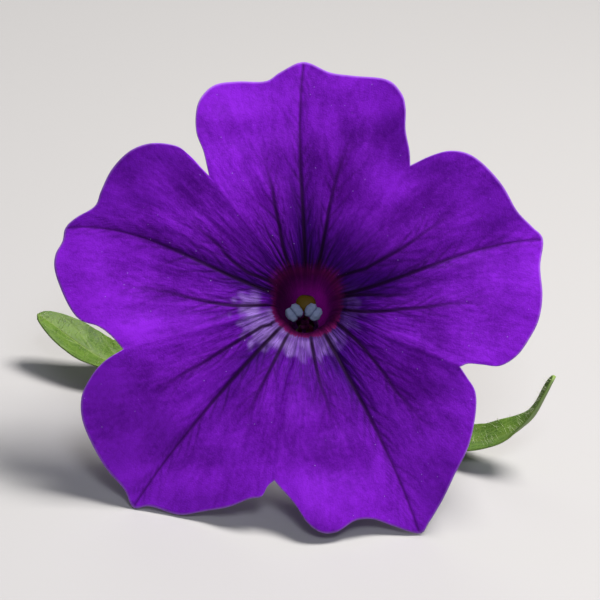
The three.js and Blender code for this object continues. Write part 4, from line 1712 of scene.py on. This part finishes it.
@dataclass
class Calyx:
    """A cup round the tube's foot, and five blunt, hairy sepals that lean out from its rim."""

    cup_radius: float = 2.9
    cup_wall: float = 0.6
    cup_height: float = 2.2
    receptacle: float = 3.0
    seat_gap: float = 0.3
    neck_radius: float = 1.1
    sepals: int = 5
    sepal_root: float = 1.2
    sepal_length: float = 15.0
    sepal_width: float = 3.4
    sepal_thickness: float = 0.42
    spread: float = 24.0
    curl: float = 26.0
    ribs: int = 10
    shell_rows: int = 30
    hairs: int = 1100
    hair: Hairs = Hairs(0.95, 0.03, bead=0.045)

    def cup(self) -> Array:
        """The cup's surface: up its ribbed outside, over its rim and down its inside.

        Returns:
            Rows of rings.
        """
        out, top, inner = self.cup_radius + self.cup_wall, self.cup_height, self.cup_radius
        neck, low = self.neck_radius, -self.receptacle
        outside = ((neck, low), (neck + 0.6, -2), (out - 0.8, -1), (out - 0.2, 0), (out, 1), (out, top))
        rim = ((out, top), (inner + 0.3, top + 0.12), (inner, top))
        inside = ((inner, top), (inner, -self.seat_gap), (0.01, -self.seat_gap))
        shell = spaced(spline(np.array(outside), 8, True), self.shell_rows)
        line = np.vstack([shell, spline(np.array(rim), 4, True)[1:-1], spaced(np.array(inside), 14)])
        angle = np.linspace(0, 2 * math.pi, 120, endpoint=False)
        ribbed = 0.08 * smoothstep(-2.5, 0.5, line[:, 1:]) * (np.arange(len(line))[:, None] < len(shell))
        radius = line[:, :1] + ribbed * np.cos(self.ribs * angle) - ribbed * 0.5
        return polar(radius, angle, line[:, 1:])

    def sepal(self, number: int) -> tuple[Array, Array]:
        """One sepal's middle surface, and its thickness, which is greater along its veins.

        Args:
            number: The sepal's number, from 0.

        Returns:
            The surface, in the foot's frame, and the thickness.
        """
        length = self.sepal_length * (1 + 0.08 * math.sin(2.4 * number))
        t = np.linspace(0, 1, 60)
        lean = np.radians(self.spread + self.curl * t)
        step = length / (len(t) - 1)
        out = self.cup_radius + self.cup_wall / 2 + np.r_[0, np.cumsum(np.sin(lean[1:]))] * step
        up = self.cup_height - self.sepal_root + np.r_[0, np.cumsum(np.cos(lean[1:]))] * step
        belly = 0.72 + 0.28 * np.sin(math.pi * np.minimum(1, 1.5 * t))
        half = self.sepal_width / 2 * belly * np.sqrt(1 - 0.8 * t**6) * smoothstep(1.06, 0.93, t)
        s = np.linspace(-1, 1, 25)
        trough = 0.35 * s**2
        t, out, up, half, lean = (line[:, None] for line in (t, out, up, half, lean))
        grid = joined(out - trough * np.cos(lean), half * s, up + trough * np.sin(lean))
        grid[..., 0] += 0.12 * Ripples(5.0, 60 + number)(grid) * t
        vein = np.exp(-((s * half) ** 2) / 0.03) + 0.4 * np.exp(-(((np.abs(s) - 0.5) * half) ** 2) / 0.015)
        thickness = self.sepal_thickness * (1 - 0.55 * np.abs(s) ** 4) + 0.12 * vein
        return grid @ turning(2 * math.pi * (number + 0.25) / self.sepals).T, thickness

    def build(self, frame: FlowerFrame, foot: TubeFoot) -> bpy.types.Object:
        """Builds the calyx on the tube's foot.

        Args:
            frame: The flower's frame.
            foot: The frame of what stands at the tube's foot.

        Returns:
            The object.
        """

        def place(points: Array) -> Array:
            """Turns points in the foot's frame to the CAD model's."""
            return frame.place(foot.place(points))

        draft = Draft()
        cup = place(self.cup())
        index = draft.add(cup)
        draft.quads(index, closed=True, turned=True)
        low = draft.add(place(-self.receptacle * UP[None]))[0]
        draft.fan(index[0], low, turned=True)
        coats = [(cup[: self.shell_rows], True, 0.25)]
        for number in range(self.sepals):
            grid, thickness = self.sepal(number)
            front, back = draft.sheet(place(grid), thickness, {})
            coats += [(back, False, 0.1), (front, False, 0.05)]
        for number, (grid, closed, share) in enumerate(coats):
            roots, ways = scatter(grid, int(self.hairs * share), 80 + number, closed)
            # Both faces of a sheet have the same rows and columns, so a back's normals are turned.
            turned = -1 if closed or number % 2 else 1
            self.hair.grow(draft, roots, ways * turned, 90 + number)
        return draft.finish("calyx_sepals", GREEN, HAIR)


FLAT_SIDE = math.cos(math.pi / 10)  # the CAD model's ten-sided stem lies on a flat side, this far down


@dataclass
class Shoot:
    """The flower's stalk, and the cut stem with its swollen node, on the surface."""

    stalk_radius: tuple[float, float] = (1.0, 0.85)
    stalk_reach: float = 22.0
    stalk_rise: float = 20.0
    boss_length: float = 3.0
    stem_radius: float = 1.3
    node_radius: float = 1.9
    stem_length: float = 22.0
    stem_swing: float = 4.0
    tip_radius: float = 0.9
    tip_length: float = 4.2
    tip_way: tuple[float, float, float] = (0.45, -0.35, 0.82)
    gap: float = 0.3
    sides: int = 32
    hairs: int = 800
    stalk_hair: Hairs = Hairs(0.9, 0.028, bead=0.042)
    stem_hair: Hairs = Hairs(0.85, 0.028, bead=0.042)
    node: Array = field(default_factory=lambda: np.zeros(3))
    foot: Array = field(default_factory=lambda: np.zeros(3))
    way: Array = field(default_factory=lambda: np.zeros(3))

    def seat(self, frame: FlowerFrame, base: TubeFoot, receptacle: float) -> None:
        """Sets the node on the surface, behind the calyx.

        Args:
            frame: The flower's frame.
            base: The tube's foot.
            receptacle: How far the calyx reaches below the tube's foot.
        """
        self.foot, beyond = (frame.place(base.place(-depth * UP)) for depth in (receptacle, receptacle + 1))
        self.way = beyond - self.foot
        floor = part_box("stem")[0][2] / MM
        self.node = np.array([self.foot[0], self.foot[1] + self.stalk_reach, floor])

    @property
    def middle(self) -> Array:
        """The middle of the swollen node."""
        return self.node + UP * self.node_radius * FLAT_SIDE

    @property
    def boss_way(self) -> Array:
        """The way that the boss points from the node."""
        rise = math.radians(self.stalk_rise)
        return np.array([0, -math.cos(rise), math.sin(rise)])

    def rough(self, path: Array, radii: Array, seed: int) -> Array:
        """Gives a round tube's radii shallow ridges and dents.

        Args:
            path: The tube's path.
            radii: Its radii along the path.
            seed: Seeds the dents.

        Returns:
            A radius for each point of the path and each side.
        """
        angle = (np.arange(self.sides) + 0.5) * 2 * math.pi / self.sides
        spot = polar(2, angle, np.arange(len(path))[:, None] * 0.06)
        return radii[:, None] * (1 + 0.02 * Ripples(2.2, seed)(spot) + 0.012 * np.cos(5 * angle))

    def stalk(self) -> bpy.types.Object:
        """Builds the stalk.

        Returns:
            The object.
        """
        start = self.foot + self.way * self.gap
        end = self.middle + self.boss_way * (self.boss_length + self.gap)
        reach = np.linalg.norm(end - start) * 0.35
        corners = np.array([start, start + self.way * reach, end + self.boss_way * reach, end])
        t = np.linspace(0, 1, 200)[:, None]
        weights = np.hstack([(1 - t) ** 3, 3 * t * (1 - t) ** 2, 3 * t**2 * (1 - t), t**3])
        path = spaced(weights @ corners, 110)
        radii = np.linspace(*self.stalk_radius, len(path))
        draft = Draft()
        rings = draft.tube(path, self.rough(path, radii, 21), self.sides)
        roots, ways = scatter(rings, self.hairs, 22, closed=True)
        self.stalk_hair.grow(draft, roots, -ways, 23)
        return draft.finish("flower_stalk", GREEN, HAIR)

    def stem(self) -> bpy.types.Object:
        """Builds the stem, with its boss, its pinched-out tip and its cut end.

        Returns:
            The object.
        """
        length, thick, thin = self.stem_length, self.node_radius, self.stem_radius
        # How far behind the node each point is, and the radius there.
        steps = (
            (-1.6, thick * 0.5), (-1.1, thick * 0.85), (0, thick), (1.1, thick * 0.92), (2.6, thin * 1.04),
            (length * 0.4, thin), (length * 0.7, thin), (length, thin),
        )
        along, radius = spline(np.array(steps), 16, chordal=True).T
        swing = self.stem_swing * np.maximum(0, along / length) ** 2
        path = self.node + joined(swing, along, radius * FLAT_SIDE)
        draft = Draft()
        rings = draft.tube(path, self.rough(path, radius, 31), self.sides, {"cut": np.ones(len(path))})
        self.cut_end(draft, rings[-1], path[-1])
        boss, tip = self.stalk_radius[1], self.tip_radius
        self.stub(draft, self.boss_way, self.boss_length, boss * 1.3, boss)
        self.stub(draft, unit(np.array(self.tip_way)), self.tip_length, tip, tip * 0.8)
        roots, ways = scatter(rings, self.hairs, 32, closed=True)
        # Hairs that would reach into the floor are left out.
        ends = roots - ways * 0.9
        above = ends[:, 2] > self.node[2] + 0.1
        self.stem_hair.grow(draft, roots[above], -ways[above], 33, slot=2)
        return draft.finish("cut_stem_node", GREEN, CutPith(), HAIR)

    def stub(self, draft: Draft, way: Array, length: float, root: float, end: float) -> None:
        """Adds a short branch from the node's middle.

        Args:
            draft: The stem's mesh.
            way: The way that the branch points.
            length: Its length.
            root: Its radius at the node.
            end: Its radius at its end.
        """
        t = np.linspace(0, 1, 14)[:, None]
        path = self.middle + way * length * t
        draft.tube(path, np.linspace(root, end, 14), self.sides, {"cut": np.ones(14)})

    def cut_end(self, draft: Draft, ring: Array, middle: Array) -> None:
        """Covers the cut end with a disc that shows the pith.

        Args:
            draft: The stem's mesh.
            ring: The last ring of the stem.
            middle: The middle of that ring.
        """
        share = np.linspace(1, 0.001, 10)
        disc = middle + (ring - middle) * share[:, None, None] + np.array([0, 0.012, 0])
        index = draft.add(disc, {"cut": np.broadcast_to(share[:, None], disc.shape[:2])})
        draft.quads(index, closed=True, turned=True, slot=1)


@dataclass(frozen=True)
class Leaf:
    """One leaf: its midrib from the node outwards, and its width, fold and roll."""

    node: str
    midrib: tuple[tuple[float, float, float], ...]
    width: float
    trough: float
    roll: float
    seed: int
    thickness: float = 0.4
    waves: int = 3
    wave_height: float = 0.5
    vein_depth: float = 0.16
    laterals: int = 6
    rows: int = 132
    columns: int = 61
    hairs: int = 420
    hair: Hairs = Hairs(0.75, 0.026)

    def blade(self) -> tuple[Array, Array]:
        """The leaf's middle surface, and how strong a vein is at each point.

        Returns:
            The surface and the strength.
        """
        line = spaced(spline(np.array(self.midrib), 60, chordal=True), self.rows)[:, None]
        along = unit(np.gradient(line, axis=0))
        across = unit(np.cross(UP, along))
        up, roll = np.cross(along, across), math.radians(self.roll)
        cos, sin = math.cos(roll), math.sin(roll)
        across, up = across * cos + up * sin, up * cos - across * sin
        t, s = np.linspace(0, 1, len(line))[:, None], np.linspace(-1, 1, self.columns)
        belly = np.clip(np.sin(math.pi * t**0.85), 0, 1) ** (0.9 - 0.45 * t)
        half = self.width / 2 * np.maximum(belly, np.where(t < 0.5, 0.14, 0.02))
        vein = self.veins(s, t, half)
        wave = self.wave_height * s**3 * np.sin(2 * math.pi * self.waves * t)
        puckers = 0.1 * Ripples(3.0, self.seed)(joined(half * s, t * 40))
        lift = (self.trough * np.abs(s) ** 1.3 + wave + puckers - self.vein_depth * vein) * belly
        return line + across * (half * s)[..., None] + up * lift[..., None], vein

    def veins(self, s: Array, t: Array, half: Array) -> Array:
        """How strong a vein is, from the midrib and the side veins that arch forward from it.

        Args:
            s: The share of the way across, from -1 to 1.
            t: The share of the way out, as a column.
            half: Half the leaf's width, as a column.

        Returns:
            The strength from 0 to 1, over the leaf's grid.
        """
        midrib = np.exp(-((s * half) ** 2) / (0.1 * (1 - 0.7 * t)))
        rate = self.laterals + 1.5
        phase = (t - 0.17 * np.abs(s) ** 1.25 - 0.05) * rate + np.where(s > 0, 0.0, 0.35)
        distance = np.abs(phase - np.round(phase)) / rate * 40
        sides = np.exp(-(distance**2) / 0.05) * (1 - 0.6 * np.abs(s)) * smoothstep(0.06, 0.12, t)
        return np.clip(np.maximum(midrib, 0.8 * sides), 0, 1)

    def build(self, root: Array) -> bpy.types.Object:
        """Builds the leaf.

        Args:
            root: The stem's node, on the surface.

        Returns:
            The object.
        """
        grid, vein = self.blade()
        grid = grid + root
        draft = Draft()
        edge = 1 - 0.5 * np.abs(np.linspace(-1, 1, grid.shape[1])) ** 6
        front, back = draft.sheet(grid, self.thickness * np.broadcast_to(edge, vein.shape), {"vein": vein})
        front_is_under = normals(grid, closed=False)[..., 2].mean() < 0
        under = np.repeat([float(front_is_under), float(not front_is_under)], vein.size)
        draft.values["under"] = [under[:, None]]
        upper = back if front_is_under else front
        roots, ways = scatter(upper, self.hairs, self.seed + 1, closed=False)
        ways = np.where(ways[:, 2:] < 0, -ways, ways)
        self.hair.grow(draft, roots, ways, self.seed + 2)
        return draft.finish(f"{self.node}_blade", LeafTissue(), HAIR)


LEAVES = (
    Leaf(
        "leaf_left",
        midrib=((-2.7, -0.4, 1.9), (-12.5, -14, 1.9), (-25.5, -25, 2.4), (-37, -23, 7.6)),
        width=12,
        trough=1.4,
        roll=-6,
        seed=100,
    ),
    Leaf(
        "leaf_right",
        midrib=((2.7, -0.6, 1.9), (11, -21, 1.9), (22.5, -38, 2.4), (30, -40.5, 7.4), (33, -41, 15)),
        width=8,
        trough=1.0,
        roll=6,
        seed=110,
    ),
)


# ---- The studio ----


@dataclass(frozen=True)
class Lamp:
    """A soft square light. way is from the flower to the lamp, in its frame; lengths are in metres."""

    name: str
    way: tuple[float, float, float]
    distance: float
    size: float
    watts: float
    tint: str = "#ffffff"


@dataclass
class Studio:
    """A pale floor, soft lights and the camera, which looks along the axis of the throat."""

    camera_distance: float = 400.0
    sensor: float = 36.0
    picture_width: int = 600
    bloom_width_mm: float = 62.0
    bloom_width_pixels: float = 485.0
    throat_pixel: tuple[float, float] = (306.0, 300.0)
    floor_reach: float = 3000.0
    sky: str = "#eef0f4"
    sky_strength: float = 0.08
    lamps: tuple[Lamp, ...] = (
        Lamp("key", (0.44, 0.83, 0.35), 0.55, 0.22, 6.1, "#fffaf6"),
        Lamp("front", (0.1, 0.3, 1.0), 0.5, 0.1, 1.0, "#f2f4ff"),
        Lamp("back", (-0.2, 0.8, -0.55), 0.6, 0.4, 0.6),
    )

    def build(self, frame: FlowerFrame) -> None:
        """Builds the floor, the lights and the camera.

        Args:
            frame: The flower's frame.
        """
        self.floor()
        self.world()
        for lamp in self.lamps:
            self.lamp(lamp, frame)
        self.camera(frame)

    def floor(self) -> None:
        """Lays the floor, just under the part."""
        draft = Draft()
        ends = np.array([-self.floor_reach, self.floor_reach])
        draft.quads(draft.add(joined(ends, ends[:, None], -0.02)), turned=True)
        draft.finish("floor", PaintedBoard())

    def world(self) -> None:
        """Lights the surroundings evenly."""
        world = bpy.data.worlds.new("studio")
        world.use_nodes = True
        inputs = world.node_tree.nodes["Background"].inputs
        inputs["Color"].default_value = srgb(self.sky)
        inputs["Strength"].default_value = self.sky_strength
        bpy.context.scene.world = world

    def lamp(self, lamp: Lamp, frame: FlowerFrame) -> None:
        """Hangs one lamp, turned to the flower.

        Args:
            lamp: The lamp.
            frame: The flower's frame.
        """
        light = bpy.data.lights.new(lamp.name, "AREA")
        light.shape = "SQUARE"
        light.size = lamp.size
        light.energy = lamp.watts
        light.color = srgb(lamp.tint)[:3]
        piece = bpy.data.objects.new(lamp.name, light)
        way = frame.axes @ unit(np.array(lamp.way))
        piece.location = frame.origin * MM + way * lamp.distance
        piece.rotation_euler = Vector(way).to_track_quat("Z", "Y").to_euler()
        bpy.context.scene.collection.objects.link(piece)

    def camera(self, frame: FlowerFrame) -> None:
        """Sets the camera before the throat, turned as the flower is.

        Args:
            frame: The flower's frame.
        """
        scale = self.bloom_width_mm / self.bloom_width_pixels
        lens = bpy.data.cameras.new("camera")
        lens.sensor_width = self.sensor
        lens.lens = self.sensor * self.camera_distance / (scale * self.picture_width)
        lens.clip_start = 0.01
        piece = bpy.data.objects.new("camera", lens)
        middle = self.picture_width / 2
        aside = np.array([middle - self.throat_pixel[0], self.throat_pixel[1] - middle]) * scale
        place = frame.place(np.array([aside[0], aside[1], self.camera_distance]))
        matrix = np.eye(4)
        matrix[:3, :3] = frame.axes
        matrix[:3, 3] = place * MM
        piece.matrix_world = Matrix(matrix.tolist())
        bpy.context.scene.collection.objects.link(piece)
        bpy.context.scene.camera = piece


# ---- Assembly ----


def mount(piece: bpy.types.Object, nodes: Sequence[str]) -> None:
    """Puts a piece on the part.

    Args:
        piece: The piece.
        nodes: The CAD nodes that it replaces.
    """
    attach(piece, BODY)
    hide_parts(*nodes)
    log.info("%s: %d faces, for %s", piece.name, len(piece.data.polygons), ", ".join(nodes))


def main() -> None:
    """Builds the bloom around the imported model."""
    logging.basicConfig(level=logging.INFO, format="%(name)s: %(message)s")
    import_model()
    bpy.context.scene.view_settings.view_transform = "Standard"
    frame = FlowerFrame()
    corolla = Corolla()
    mount(corolla.build(frame), ["corolla"])
    for number, stamen in enumerate(Stamens().build(frame), start=1):
        mount(stamen, [f"stamen_{number}"])
    foot = TubeFoot.of(corolla)
    mount(Pistil().build(frame, foot), ["pistil"])
    calyx = Calyx()
    mount(calyx.build(frame, foot), ["calyx"])
    shoot = Shoot()
    shoot.seat(frame, foot, calyx.receptacle)
    mount(shoot.stalk(), ["stalk"])
    mount(shoot.stem(), ["stem"])
    for leaf in LEAVES:
        mount(leaf.build(shoot.node), [leaf.node])
    Studio().build(frame)


if __name__ == "__main__":
    main()
